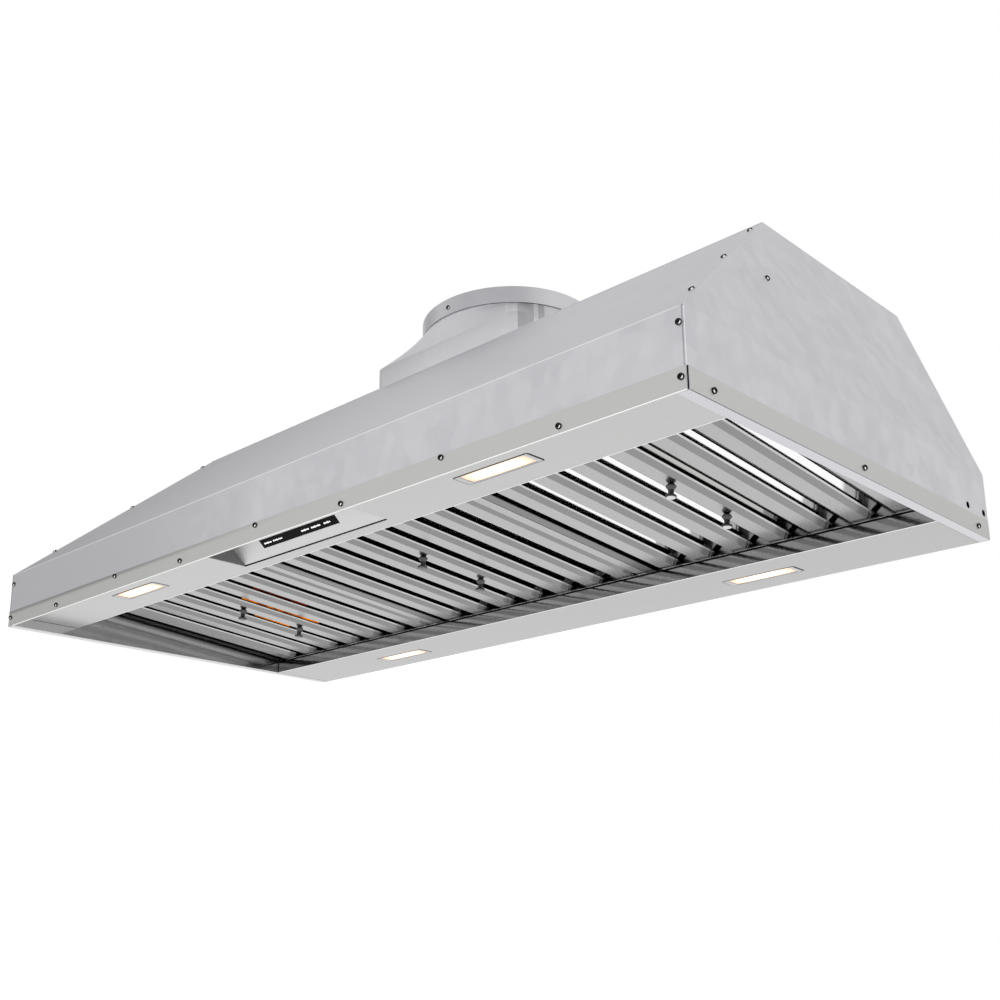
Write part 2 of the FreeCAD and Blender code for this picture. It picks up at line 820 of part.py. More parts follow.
def duct_pieces():
    """Square-to-round transition, collar ring and the damper in it."""
    reach = base_width / 2 + base_flange
    flange = box("base_flange_sheet", -reach, reach, duct_y - reach, duct_y + reach, body_height, body_height + casing_sheet)
    outside = shape_object("funnel_outside", funnel(0, 0))
    inside = shape_object("funnel_inside", funnel(casing_sheet.value, casing_sheet.value))
    transition = cut("transition_shell", fuse("transition_block", [flange, outside]), inside)
    keep(drilled(transition, transition_seats() + collar_seats()), "duct_transition")

    seat_top = collar_low + collar_seat_height
    ring = turned("collar_ring", [
        (collar_inner, collar_top),
        (collar_inner, seat_top + collar_step),
        (seat_radius - casing_sheet, seat_top),
        (seat_radius - casing_sheet, collar_low),
        (seat_radius, collar_low),
        (seat_radius, seat_top),
        (collar_radius, seat_top + collar_step),
        (collar_radius, collar_top),
    ])
    bind(ring, "Placement.Base.y", duct_y)
    stops = []
    stop_high = rod_z - flap_thickness / 2
    for side in (-1, 1):
        ends = sorted((collar_inner * side, (collar_inner - stop_length) * side), key=lambda place: place.value)
        y_low = duct_y + ends[0]
        y_high = duct_y + ends[1]
        stops.append(box("stop", -stop_width / 2, stop_width / 2, y_low, y_high, stop_high - stop_thickness, stop_high))
    ring = fuse("ring_with_stops", [ring] + stops)
    rod_hole = rod_along_x("rod_hole", rod_radius + running_gap, -collar_radius * 2, collar_radius * 2, duct_y, rod_z)
    ring = drilled(cut("ring_bored", ring, rod_hole), collar_seats())
    keep(ring, "duct_collar")
    rod_end = collar_radius - rod_end_inset
    keep(rod_along_x("rod", rod_radius, -rod_end, rod_end, duct_y, rod_z), "damper_rod")
    screws("collar_screws", collar_seats())
    damper_flap("front_damper_flap", -1)
    damper_flap("rear_damper_flap", 1)


def damper_flap(name, side):
    """Half disc with its own knuckles on the rod, between those of the other half."""
    knuckle_radius = rod_radius + running_gap + knuckle_wall
    edge = knuckle_radius + knuckle_gap
    low = rod_z - flap_thickness / 2
    high = rod_z + flap_thickness / 2
    disc = post("disc", collar_inner - flap_gap, zero, duct_y, low, high)
    reach = collar_radius * 2
    near = duct_y + edge * side
    y_range = (duct_y - reach, near) if side > 0 else (near, duct_y + reach)
    half = cut("half_disc", disc, box("other_half", -reach, reach, *y_range, low - 1, high + 1))
    parts = [half]
    step = knuckle_length + knuckle_gap
    for pair in range(knuckle_pairs):
        middle = knuckle_spread * (pair - (knuckle_pairs - 1) / 2) + step * (side / 2)
        x_low = middle - knuckle_length / 2
        x_high = middle + knuckle_length / 2
        parts.append(rod_along_x("knuckle", knuckle_radius, x_low, x_high, duct_y, rod_z))
        web = sorted((duct_y, near + knuckle_gap * side), key=lambda place: place.value)
        parts.append(box("web", x_low, x_high, *web, low, high))
    bore = rod_along_x("bore", rod_radius + running_gap, -reach, reach, duct_y, rod_z)
    keep(cut("flap", fuse("flap_block", parts), bore), name)


def lamp_middles():
    """Name, middle and strip level of each lamp."""
    places = []
    for end, y, level in (
        ("front", front_lamp_inset - half_depth, strip_recess),
        ("rear", half_depth - rear_lamp_inset, zero),
    ):
        for hand, side in (("left", -0.5), ("right", 0.5)):
            places.append((f"{end}_{hand}", (lamp_spacing * side, y), level))
    return places


def lamp_cutouts(end):
    tools = []
    for name, middle, level in lamp_middles():
        if name.startswith(end):
            corner = bezel_corner + bezel_gap
            length = bezel_length + bezel_gap * 2
            width = bezel_width + bezel_gap * 2
            tools.append(slab("lamp_hole", middle, length, width, level - 1, level + trim_sheet + 1, corner))
    return tools


def lamp_pieces():
    """Flush bezel, diffuser with a shoulder, and the housing that covers both."""
    for name, middle, level in lamp_middles():
        face = slab("bezel_face", middle, bezel_length, bezel_width, level, level + trim_sheet, bezel_corner)
        flange_low = level + trim_sheet
        flange_high = flange_low + bezel_flange_thickness
        outer_length = bezel_length + bezel_flange * 2
        outer_width = bezel_width + bezel_flange * 2
        flange = slab("bezel_flange", middle, outer_length, outer_width, flange_low, flange_high, bezel_corner)
        window = slab("window", middle, window_length, window_width, level - 1, flange_high + 1, window_corner)
        keep(cut("bezel", fuse("bezel_block", [face, flange]), window), f"{name}_lamp_bezel")

        boss_length = window_length - window_gap * 2
        boss_width = window_width - window_gap * 2
        boss_corner = window_corner - window_gap
        boss_low = level + diffuser_recess
        boss = slab("boss", middle, boss_length, boss_width, boss_low, flange_high, boss_corner)
        wide_length = window_length + diffuser_shoulder * 2
        wide_width = window_width + diffuser_shoulder * 2
        shoulder_high = flange_high + diffuser_shoulder_thickness
        shoulder = slab("shoulder", middle, wide_length, wide_width, flange_high, shoulder_high, window_corner)
        keep(fuse("diffuser", [boss, shoulder]), f"{name}_lamp_diffuser")

        top = flange_high + lamp_housing_height
        block = slab("lamp_block", middle, outer_length, outer_width, flange_high, top, bezel_corner)
        hollow_length = outer_length - lamp_housing_wall * 2
        hollow_width = outer_width - lamp_housing_wall * 2
        hollow_top = top - lamp_housing_wall
        hollow = slab("hollow", middle, hollow_length, hollow_width, flange_high - 1, hollow_top, bezel_corner / 2)
        keep(cut("lamp_case", block, hollow), f"{name}_lamp_housing")


pocket_rear_y = pocket_rear - half_depth
pocket_front_y = pocket_front - half_depth
slant_length = root(pocket_rise * pocket_rise + pocket_slant_run * pocket_slant_run)


def underside_pieces():
    """Stainless front and rear strips, and the side rails with their rims."""
    band_end = half_length - corner_slot
    front_path = [
        (-half_depth, band_height),
        (-half_depth, zero),
        (lip_width - half_depth, zero),
        (lip_width - half_depth, strip_recess),
        (front_wall_y, strip_recess),
        (front_wall_y, front_ledge_height),
        (front_wall_y - ledge_width, front_ledge_height + ledge_width * filter_lean),
    ]
    front = pad(new_body("front_strip"), "x", bent_sheet(front_path, trim_sheet), -band_end, band_end)
    ends = [
        rectangle(inner_x, overall_length, lip_width - half_depth, half_depth),
        rectangle(-overall_length, -inner_x, lip_width - half_depth, half_depth),
    ]
    pocket(front, "z", ends, -1, body_height)
    riser_y = lip_width - trim_sheet - half_depth
    riser_ends = [
        rectangle(half_length - corner_notch * 2, overall_length, riser_y, half_depth),
        rectangle(-overall_length, corner_notch * 2 - half_length, riser_y, half_depth),
    ]
    pocket(front, "z", riser_ends, trim_sheet, body_height)
    pocket_hole = rectangle(-pocket_width / 2, pocket_width / 2, pocket_front_y, pocket_rear_y)
    pocket(front, "z", [pocket_hole], 0, strip_top + 1)
    front = cut("front_strip_open", front, *lamp_cutouts("front"))
    keep(drilled(front, front_band_seats), "front_light_panel")

    rear_path = [
        (rear_wall_y + ledge_width, rear_ledge_height - ledge_width * filter_lean),
        (rear_wall_y, rear_ledge_height),
        (rear_wall_y, zero),
        (half_depth, zero),
        (half_depth, band_height),
    ]
    rear = pad(new_body("rear_strip"), "x", bent_sheet(rear_path, trim_sheet), -band_end, band_end)
    rear_ends = [
        rectangle(inner_x, overall_length, -half_depth, half_depth - lip_width),
        rectangle(-overall_length, -inner_x, -half_depth, half_depth - lip_width),
    ]
    pocket(rear, "z", rear_ends, -1, body_height)
    rear = cut("rear_strip_open", rear, *lamp_cutouts("rear"))
    keep(drilled(rear, rear_band_seats), "rear_light_panel")

    rail_path = [
        (casing_x - casing_sheet, inner_wall_height),
        (inner_x, inner_wall_height),
        (inner_x, zero),
        (half_length, zero),
        (half_length, band_height),
    ]
    rail_end = half_depth - lip_width
    right = pad(new_body("rail"), "y", bent_sheet(rail_path, trim_sheet), -rail_end, rail_end)
    right = keep(drilled(right, side_band_seats), "right_side_rail")
    keep(mirrored(right), "left_side_rail")


def control_pieces():
    """Folded pocket with a slanted plate, the touch glass in it and the module behind."""
    ceiling = strip_top + pocket_rise
    slant_front_y = pocket_rear_y - pocket_slant_run
    hat_path = [
        (pocket_front_y - pocket_tab, strip_top),
        (pocket_front_y, strip_top),
        (pocket_front_y, ceiling),
        (slant_front_y, ceiling),
        (pocket_rear_y, strip_top),
        (pocket_rear_y + pocket_tab, strip_top),
    ]
    half = pocket_width / 2
    outline = offset_path(hat_path, trim_sheet)
    body = pad(new_body("pocket_fold"), "x", bent_sheet(hat_path, trim_sheet), -half, half)
    cheek = [(outline[1][0], strip_top), outline[2], outline[3], (outline[4][0], outline[4][1]), (outline[4][0], strip_top)]
    pad(body, "x", cheek, half, half + trim_sheet)
    pad(body, "x", cheek, -half - trim_sheet, -half)

    glass_low = glass_from_edge
    glass_high = glass_from_edge + glass_height
    x_low = glass_shift - glass_width / 2
    x_high = glass_shift + glass_width / 2
    window = box(
        "glass_window",
        x_low - glass_gap,
        x_high + glass_gap,
        glass_low - glass_gap,
        glass_high + glass_gap,
        -trim_sheet * 2,
        trim_sheet,
    )
    plate = cut("pocket_open", body, on_slant(window))
    keep(plate, "control_plate")
    glass = box("glass", x_low, x_high, glass_low, glass_high, -glass_thickness, zero)
    keep(on_slant(glass), "touch_glass")
    case = box(
        "module_case",
        x_low - module_margin,
        x_high + module_margin,
        glass_low - module_margin,
        glass_high + module_margin,
        -trim_sheet - module_depth,
        -trim_sheet,
    )
    bed = box(
        "glass_bed",
        x_low - glass_gap,
        x_high + glass_gap,
        glass_low - glass_gap,
        glass_high + glass_gap,
        -glass_thickness,
        zero,
    )
    keep(on_slant(cut("module", case, bed)), "touch_module")


def on_slant(item):
    """Turns a piece modelled flat, from the plate's rear edge forward, into the slanted plate."""
    angle = f"180 deg - atan({(pocket_rise / pocket_slant_run).text})"
    holder = group("slanted", [item])
    holder.Placement = FreeCAD.Placement(Vector(), FreeCAD.Rotation(Vector(1, 0, 0), 120))
    bind(holder, "Placement.Base.y", pocket_rear_y)
    bind(holder, "Placement.Base.z", strip_top)
    holder.setExpression("Placement.Rotation.Angle", angle)
    return holder


def filter_pieces():
    """Three baffle filters side by side, each modelled flat and then laid on the two ledges."""
    cell = inner_x * 2 / 3
    half_width = (cell - filter_gap) / 2
    bar_room = (half_width - filter_rail - bar_side_gap) * 2 - bar_width
    bar_pitch = bar_room / (bar_count - 1)
    front_edge = -filter_run * filter_stretch
    for name, place in (("left", -1), ("middle", 0), ("right", 1)):
        x = cell * place
        block = box(
            "frame_block", -half_width, half_width, front_edge - filter_rail, filter_rail, zero, filter_height
        )
        opening_x = half_width - filter_rail
        opening = box("frame_opening", -opening_x, opening_x, front_edge, zero, -1, filter_height + 1)
        hollow_x = half_width - filter_sheet
        hollow_y = filter_rail - filter_sheet
        hollow = box(
            "frame_hollow",
            -hollow_x,
            hollow_x,
            front_edge - hollow_y,
            hollow_y,
            filter_sheet,
            filter_height - filter_sheet,
        )
        keep(lay_on_ledges(cut("frame", block, opening, hollow), x), f"{name}_filter_frame")

        bars = []
        for index in range(bar_count):
            middle = bar_pitch * (index - (bar_count - 1) / 2)
            low = middle - bar_width / 2
            high = middle + bar_width / 2
            path = [(low - bar_flare, bar_height), (low, zero), (high, zero), (high + bar_flare, bar_height)]
            bars.append(pad(new_body("bar"), "y", bent_sheet(path, filter_sheet), front_edge, zero))
        keep(lay_on_ledges(group("lower_bars", bars), x), f"{name}_filter_lower_baffles")

        hoods = []
        hood_top = filter_height - filter_sheet
        for index in range(bar_count - 1):
            middle = bar_pitch * (index - (bar_count - 2) / 2)
            path = [
                (middle + hood_bar_base / 2, hood_top - hood_bar_height),
                (middle + hood_bar_top / 2, hood_top),
                (middle - hood_bar_top / 2, hood_top),
                (middle - hood_bar_base / 2, hood_top - hood_bar_height),
            ]
            outline = bent_sheet(path, filter_sheet)
            hoods.append(pad(new_body("hood_bar"), "y", outline, front_edge - hollow_y / 2, hollow_y / 2))
        keep(lay_on_ledges(group("upper_bars", hoods), x), f"{name}_filter_upper_baffles")

        knobs = []
        for step in (0, 1):
            profile = [
                (zero, -knob_length),
                (knob_radius, -knob_length),
                (knob_radius, knob_disc - knob_length),
                (knob_waist, knob_disc * 1.5 - knob_length),
                (knob_waist, -knob_flare),
                (knob_radius, -knob_flare / 2),
                (knob_waist, zero),
                (zero, zero),
            ]
            knob = turned("knob", profile)
            bind(knob, "Placement.Base.y", -rear_knob_inset - knob_spacing * step)
            knobs.append(knob)
        keep(lay_on_ledges(group("knobs", knobs), x), f"{name}_filter_knobs")


blower_near = blower_gap / 2
blower_far = blower_near + blower_width
drum_y = duct_y
drum_z = top_under - drum_drop
wheel_y = drum_y - wheel_shift
wheel_z = drum_z + wheel_shift
wheel_near = blower_near + (blower_width - wheel_width) / 2
wheel_far = wheel_near + wheel_width


def blower_pieces():
    """Right blower with its inlet ring, impeller and motor, and its mirror image."""
    shell = [
        rod_along_x("drum", drum_radius, blower_near, blower_far, drum_y, drum_z),
        box("outlet", blower_near, blower_far, drum_y, drum_y + drum_radius, drum_z, top_under),
        box(
            "outlet_flange",
            blower_near - blower_flange,
            blower_far + blower_flange,
            drum_y - blower_flange,
            drum_y + drum_radius + blower_flange,
            top_under - casing_sheet,
            top_under,
        ),
    ]
    bare = drum_radius - casing_sheet
    x_low = blower_near + casing_sheet
    x_high = blower_far - casing_sheet
    room = [
        rod_along_x("drum_room", bare, x_low, x_high, drum_y, drum_z),
        box("outlet_room", x_low, x_high, drum_y, drum_y + bare, drum_z, top_under + 1),
        rod_along_x("inlet_hole", inlet_radius, blower_near - 1, x_low + 1, wheel_y, wheel_z),
        rod_along_x("shaft_hole", shaft_radius + shaft_hole_gap, x_high - 1, blower_far + 1, wheel_y, wheel_z),
    ]
    housing = cut("housing", fuse("housing_block", shell), fuse("housing_room", room))
    keep(housing, "right_blower_housing")
    keep(mirrored(housing), "left_blower_housing")

    spigot = inlet_radius - inlet_gap
    throat = spigot - casing_sheet
    brim = inlet_radius + inlet_lip
    mouth = turned("inlet", [
        (throat + inlet_lip, -inlet_depth),
        (throat, zero),
        (throat, casing_sheet * 2),
        (spigot, casing_sheet * 2),
        (spigot, zero),
        (brim, zero),
        (brim, -inlet_depth),
    ])
    keep(face_along_x(mouth, blower_near), "right_blower_inlet")
    keep(mirrored(mouth), "left_blower_inlet")

    wheel = impeller()
    keep(wheel, "right_impeller")
    keep(mirrored(wheel), "left_impeller")

    bore = shaft_radius + running_gap
    depth = shaft_reach + shaft_radius
    motor = turned("motor", [
        (bore, zero),
        (motor_radius, zero),
        (motor_radius, motor_length - motor_edge),
        (motor_radius - motor_edge, motor_length),
        (zero, motor_length),
        (zero, depth),
        (bore, depth),
    ])
    keep(face_along_x(motor, blower_far), "right_motor")
    keep(mirrored(motor), "left_motor")


def face_along_x(body, x):
    """Lays a body turned about Z along X, on the impeller's axis."""
    body.Placement = FreeCAD.Placement(Vector(), FreeCAD.Rotation(Vector(0, 1, 0), 90))
    bind(body, "Placement.Base.x", x)
    bind(body, "Placement.Base.y", wheel_y)
    bind(body, "Placement.Base.z", wheel_z)
    return body


def impeller():
    """Drum wheel: back plate, front ring, blades, hub and the shaft into the motor."""
    shaft_end = blower_far - wheel_near + shaft_reach
    back_low = wheel_width - wheel_plate
    parts = [
        turned("plate_and_shaft", [
            (zero, back_low - hub_length),
            (hub_radius, back_low - hub_length),
            (hub_radius, back_low),
            (wheel_radius, back_low),
            (wheel_radius, wheel_width),
            (shaft_radius, wheel_width),
            (shaft_radius, shaft_end),
            (zero, shaft_end),
        ]),
        turned("front_ring", rectangle(wheel_inner, wheel_radius, zero, wheel_plate)),
    ]
    blade_low = wheel_plate / 2
    blade_high = wheel_width - wheel_plate / 2
    for index in range(blade_count):
        blade = box(
            "blade", wheel_inner, wheel_radius, -blade_thickness / 2, blade_thickness / 2, blade_low, blade_high
        )
        holder = group("blade_place", [blade])
        holder.Placement = FreeCAD.Placement(Vector(), FreeCAD.Rotation(UP, 360 * index / blade_count))
        parts.append(holder)
    return face_along_x(fuse("wheel", parts), wheel_near)


def electrical_pieces():
    """Box under the top panel with its cover, board and capacitors, and the cable grommet."""
    low = top_under - box_height
    block = box("box_block", box_far, box_near, box_front, box_rear, low, top_under)
    hollow = box(
        "box_hollow",
        box_far + box_wall,
        box_near - box_wall,
        box_front + box_wall,
        box_rear - box_wall,
        low - 1,
        top_under - box_wall,
    )
    hole_radius = cable_radius + grommet_wall + grommet_gap
    cable_hole = post("box_cable_hole", hole_radius, cable_x, cable_y, top_under - box_wall - 1, top_under + 1)
    board_x = box_near - box_wall - board_inset
    board_y = box_front + box_wall + board_inset
    board_top = top_under - box_wall - post_height
    posts = []
    for x in (board_x - post_inset, board_x - board_length + post_inset):
        for y in (board_y + post_inset, board_y + board_depth - post_inset):
            posts.append(post("standoff", post_radius, x, y, board_top, top_under - box_wall))
    shell = cut("box_shell", block, hollow, cable_hole)
    keep(fuse("box_posts", [shell] + posts), "electrical_box")
    cover = box("cover", box_far, box_near, box_front, box_rear, low - box_wall, low)
    keep(cover, "electrical_box_cover")
    board = box("board", board_x - board_length, board_x, board_y, board_y + board_depth, board_top - board_thickness, board_top)
    keep(board, "power_board")
    cans = []
    can_x = box_far + can_inset
    for step in (0, 1):
        can_top = top_under - box_wall
        can_y = box_front + can_inset - box_wall + can_spacing * step - can_inset / 4
        cans.append(post("can", can_radius, can_x, can_y, can_top - can_height, can_top))
    keep(group("cans", cans), "run_capacitors")

    seat = cable_radius + grommet_wall
    flare = seat + grommet_lip
    low_face = top_under - box_wall
    grommet = turned("grommet", [
        (cable_radius, low_face - grommet_lip),
        (flare, low_face - grommet_lip),
        (flare, low_face),
        (seat, low_face),
        (seat, body_height),
        (flare, body_height),
        (flare, body_height + grommet_lip),
        (cable_radius, body_height + grommet_lip),
    ])
    bind(grommet, "Placement.Base.x", cable_x)
    bind(grommet, "Placement.Base.y", cable_y)
    keep(grommet, "supply_grommet")


def fastener_pieces():
    screws("front_screws", front_band_seats + front_corner_seats + hip_seats)
    screws("side_screws", both_sides(side_band_seats + slope_seats))
    screws("rear_screws", rear_band_seats + rear_side_seats)
    screws("top_screws", top_front_seats + top_rear_seats + transition_seats())


def write_pieces():
    """Checks every object and every piece, then writes each piece to its own file."""
    doc.recompute()
    for item in doc.Objects:
        if "Invalid" in item.State or "Error" in item.State:
            raise RuntimeError(f"{item.Name} failed: {item.State}")
    for item in nodes:
        shape = item.Shape
        if shape.isNull() or not shape.isValid() or not shape.Solids:
            raise RuntimeError(f"{item.Label} has no sound shape")
    os.makedirs("parts", exist_ok=True)
    for item in nodes:
        item.Shape.exportStep(f"parts/{item.Label}.step")


casing_pieces()
top_piece()
duct_pieces()
underside_pieces()
control_pieces()
lamp_pieces()
filter_pieces()
blower_pieces()
electrical_pieces()
fastener_pieces()
write_pieces()
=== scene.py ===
import math

import bmesh
import bpy
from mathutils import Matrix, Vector


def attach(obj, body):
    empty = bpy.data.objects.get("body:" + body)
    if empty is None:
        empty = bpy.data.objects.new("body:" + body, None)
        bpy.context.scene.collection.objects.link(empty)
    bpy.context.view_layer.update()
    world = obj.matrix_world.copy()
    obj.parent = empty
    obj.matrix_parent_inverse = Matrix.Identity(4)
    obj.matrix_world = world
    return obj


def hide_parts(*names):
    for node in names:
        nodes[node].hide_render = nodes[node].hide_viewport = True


# Range hood liner seen from below its front right corner, in metres.
# X runs along the length, Y from the front to the rear and Z up.

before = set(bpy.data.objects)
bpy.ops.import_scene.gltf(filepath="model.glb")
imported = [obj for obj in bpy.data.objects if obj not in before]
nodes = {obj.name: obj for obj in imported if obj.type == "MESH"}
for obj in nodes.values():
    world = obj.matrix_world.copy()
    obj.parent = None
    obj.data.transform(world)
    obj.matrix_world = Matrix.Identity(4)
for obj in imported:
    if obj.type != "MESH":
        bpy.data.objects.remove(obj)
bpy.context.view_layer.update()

MM = 0.001
LINER = "liner"
FILTERS = ("left", "middle", "right")
LAMPS = ("front_left", "front_right", "rear_left", "rear_right")


# Node building
def link(tree, output, socket):
    tree.links.new(output, socket)


def feed(tree, value, socket):
    """Gives a socket a plain value or the output of another node."""
    if isinstance(value, bpy.types.NodeSocket):
        link(tree, value, socket)
    else:
        socket.default_value = value


def new_node(tree, kind, **settings):
    node = tree.nodes.new(kind)
    for name, value in settings.items():
        setattr(node, name, value)
    return node


def new_group(name, inputs, outputs):
    """Empty shader group with named sockets; gives the group, its input node and its output node."""
    group = bpy.data.node_groups.new(name, "ShaderNodeTree")
    for label, kind, default in inputs:
        socket = group.interface.new_socket(label, in_out="INPUT", socket_type="NodeSocket" + kind)
        socket.default_value = default
    for label, kind in outputs:
        group.interface.new_socket(label, in_out="OUTPUT", socket_type="NodeSocket" + kind)
    return group, group.nodes.new("NodeGroupInput"), group.nodes.new("NodeGroupOutput")


def math_node(tree, operation, first, second):
    """Math node whose two operands are sockets or numbers."""
    node = new_node(tree, "ShaderNodeMath", operation=operation)
    feed(tree, first, node.inputs[0])
    feed(tree, second, node.inputs[1])
    return node.outputs[0]


def weighted(tree, first, share, second):
    """Mix of two values by the first one's share."""
    main = math_node(tree, "MULTIPLY", first, share)
    return math_node(tree, "ADD", main, math_node(tree, "MULTIPLY", second, 1.0 - share))


def mapped(tree, value, low, high):
    """A value between 0 and 1 spread over another range."""
    node = new_node(tree, "ShaderNodeMapRange")
    link(tree, value, node.inputs["Value"])
    node.inputs["To Min"].default_value = low
    node.inputs["To Max"].default_value = high
    return node.outputs["Result"]


def ramp(tree, value, start, end, low=0.0, high=1.0):
    """Smooth step from low at the start to high at the end; each limit is a number or a socket."""
    node = new_node(tree, "ShaderNodeMapRange", interpolation_type="SMOOTHSTEP")
    link(tree, value, node.inputs["Value"])
    for name, limit in (("From Min", start), ("From Max", end), ("To Min", low), ("To Max", high)):
        feed(tree, limit, node.inputs[name])
    return node.outputs["Result"]


def colour_mix(tree, factor, first, second):
    """Colour that runs from the first to the second, each a tone or a socket."""
    mix = new_node(tree, "ShaderNodeMix", data_type="RGBA")
    link(tree, factor, mix.inputs["Factor"])
    for name, colour in (("A", first), ("B", second)):
        opaque = (*colour, 1.0) if isinstance(colour, tuple) else colour
        feed(tree, opaque, mix.inputs[name])
    return mix.outputs["Result"]


def noise(tree, vector, scale, detail, rough=0.5):
    node = new_node(tree, "ShaderNodeTexNoise")
    link(tree, vector, node.inputs["Vector"])
    feed(tree, scale, node.inputs["Scale"])
    node.inputs["Detail"].default_value = detail
    node.inputs["Roughness"].default_value = rough
    return node.outputs["Fac"]


def place_on(tree, kind="Object"):
    """The place on the object."""
    return new_node(tree, "ShaderNodeTexCoord").outputs[kind]


def axis_value(tree, kind, axis):
    """One coordinate of the place on the object."""
    split = new_node(tree, "ShaderNodeSeparateXYZ")
    link(tree, place_on(tree, kind), split.inputs[0])
    return split.outputs[axis]


def stretched_place(tree, stretch):
    """The place on the object, stretched along its axes."""
    node = new_node(tree, "ShaderNodeVectorMath", operation="MULTIPLY")
    link(tree, place_on(tree), node.inputs[0])
    link(tree, stretch, node.inputs[1])
    return node.outputs[0]


# Effects shared by the finishes
def brush_lines_group():
    """Fine parallel polishing lines; Stretch is small along the lines."""
    group, given, out = new_group(
        "brush_lines",
        [("Stretch", "Vector", (6.0, 500.0, 500.0)), ("Clouds", "Float", 7.0)],
        [("Shade", "Float"), ("Height", "Float"), ("Cloud", "Float")],
    )
    lines = stretched_place(group, given.outputs["Stretch"])
    fine = noise(group, lines, 2.4, 3.0, 0.6)
    broad = noise(group, lines, 0.35, 2.0)
    link(group, weighted(group, fine, 0.6, broad), out.inputs["Shade"])
    link(group, fine, out.inputs["Height"])
    link(group, noise(group, place_on(group), given.outputs["Clouds"], 3.0), out.inputs["Cloud"])
    return group


def spangle_group():
    """Soft crystal patches of zinc with a fine grain and slow clouds."""
    group, given, out = new_group(
        "zinc_spangle",
        [("Patch", "Float", 60.0), ("Clouds", "Float", 5.0)],
        [("Patches", "Float"), ("Grain", "Float"), ("Cloud", "Float")],
    )
    place = place_on(group)
    warp = new_node(group, "ShaderNodeTexNoise")
    link(group, place, warp.inputs["Vector"])
    warp.inputs["Scale"].default_value = 30.0
    bent_place = new_node(group, "ShaderNodeVectorMath", operation="MULTIPLY_ADD")
    link(group, warp.outputs["Color"], bent_place.inputs[0])
    bent_place.inputs[1].default_value = (0.02, 0.02, 0.02)
    link(group, place, bent_place.inputs[2])
    cells = new_node(group, "ShaderNodeTexVoronoi", feature="SMOOTH_F1")
    link(group, bent_place.outputs[0], cells.inputs["Vector"])
    link(group, given.outputs["Patch"], cells.inputs["Scale"])
    cells.inputs["Smoothness"].default_value = 0.6
    split = new_node(group, "ShaderNodeSeparateColor")
    link(group, cells.outputs["Color"], split.inputs["Color"])
    link(group, split.outputs["Red"], out.inputs["Patches"])
    link(group, noise(group, place, 900.0, 2.0), out.inputs["Grain"])
    link(group, noise(group, place, given.outputs["Clouds"], 4.0, 0.55), out.inputs["Cloud"])
    return group


def fade_group():
    """Colour that runs to another tone along the length: painted shade where the tone is darker, painted
    light where it is lighter.
    """
    group, given, out = new_group(
        "fade_along",
        [
            ("Colour", "Color", (0.5, 0.5, 0.5, 1.0)),
            ("Tone", "Color", (0.1, 0.1, 0.1, 1.0)),
            ("Start", "Float", 0.0),
            ("End", "Float", 1.0),
            ("Amount", "Float", 1.0),
        ],
        [("Colour", "Color")],
    )
    limits = [given.outputs["Start"], given.outputs["End"], 0.0, given.outputs["Amount"]]
    span = ramp(group, axis_value(group, "Object", "X"), *limits)
    link(group, colour_mix(group, span, given.outputs["Colour"], given.outputs["Tone"]), out.inputs["Colour"])
    return group


BRUSH_LINES = brush_lines_group()
SPANGLE = spangle_group()
FADE = fade_group()


# Kinds of finish
def new_material(name):
    """Material with an empty tree, a principled shader and an output."""
    material = bpy.data.materials.new(name)
    material.use_nodes = True
    tree = material.node_tree
    tree.nodes.clear()
    shader = tree.nodes.new("ShaderNodeBsdfPrincipled")
    output = tree.nodes.new("ShaderNodeOutputMaterial")
    link(tree, shader.outputs["BSDF"], output.inputs["Surface"])
    return material, tree, shader


def shader_of(material):
    """Principled shader of a finish."""
    return material.node_tree.nodes["Principled BSDF"]


def place_group(tree, group, **values):
    node = new_node(tree, "ShaderNodeGroup", node_tree=group)
    for name, value in values.items():
        node.inputs[name].default_value = value
    return node


def shade_between(tree, shader, factor, dark, light):
    """Base colour that runs from a dark to a light tone."""
    link(tree, colour_mix(tree, factor, dark, light), shader.inputs["Base Color"])


def raise_surface(tree, shader, height, distance, strength):
    bump = new_node(tree, "ShaderNodeBump")
    bump.inputs["Distance"].default_value = distance
    bump.inputs["Strength"].default_value = strength
    link(tree, height, bump.inputs["Height"])
    link(tree, bump.outputs["Normal"], shader.inputs["Normal"])


def galvanised(name, dark, light, rough):
    """Zinc-coated sheet: cool grey, satin, with faint patches."""
    material, tree, shader = new_material(name)
    shader.inputs["Metallic"].default_value = 1.0
    zinc = place_group(tree, SPANGLE, Patch=55.0, Clouds=11.0)
    mixed = weighted(tree, zinc.outputs["Patches"], 0.35, zinc.outputs["Cloud"])
    shade_between(tree, shader, mixed, dark, light)
    link(tree, mapped(tree, mixed, rough - 0.05, rough + 0.07), shader.inputs["Roughness"])
    raise_surface(tree, shader, zinc.outputs["Grain"], 0.02 * MM, 0.25)
    return material


def brushed(name, dark, light, rough, stretch):
    """Brushed stainless sheet with its lines along one direction."""
    material, tree, shader = new_material(name)
    shader.inputs["Metallic"].default_value = 1.0
    lines = place_group(tree, BRUSH_LINES, Stretch=stretch, Clouds=7.0)
    mixed = weighted(tree, lines.outputs["Shade"], 0.6, lines.outputs["Cloud"])
    shade_between(tree, shader, mixed, dark, light)
    link(tree, mapped(tree, mixed, rough - 0.05, rough + 0.06), shader.inputs["Roughness"])
    raise_surface(tree, shader, lines.outputs["Height"], 0.02 * MM, 0.2)
    return material


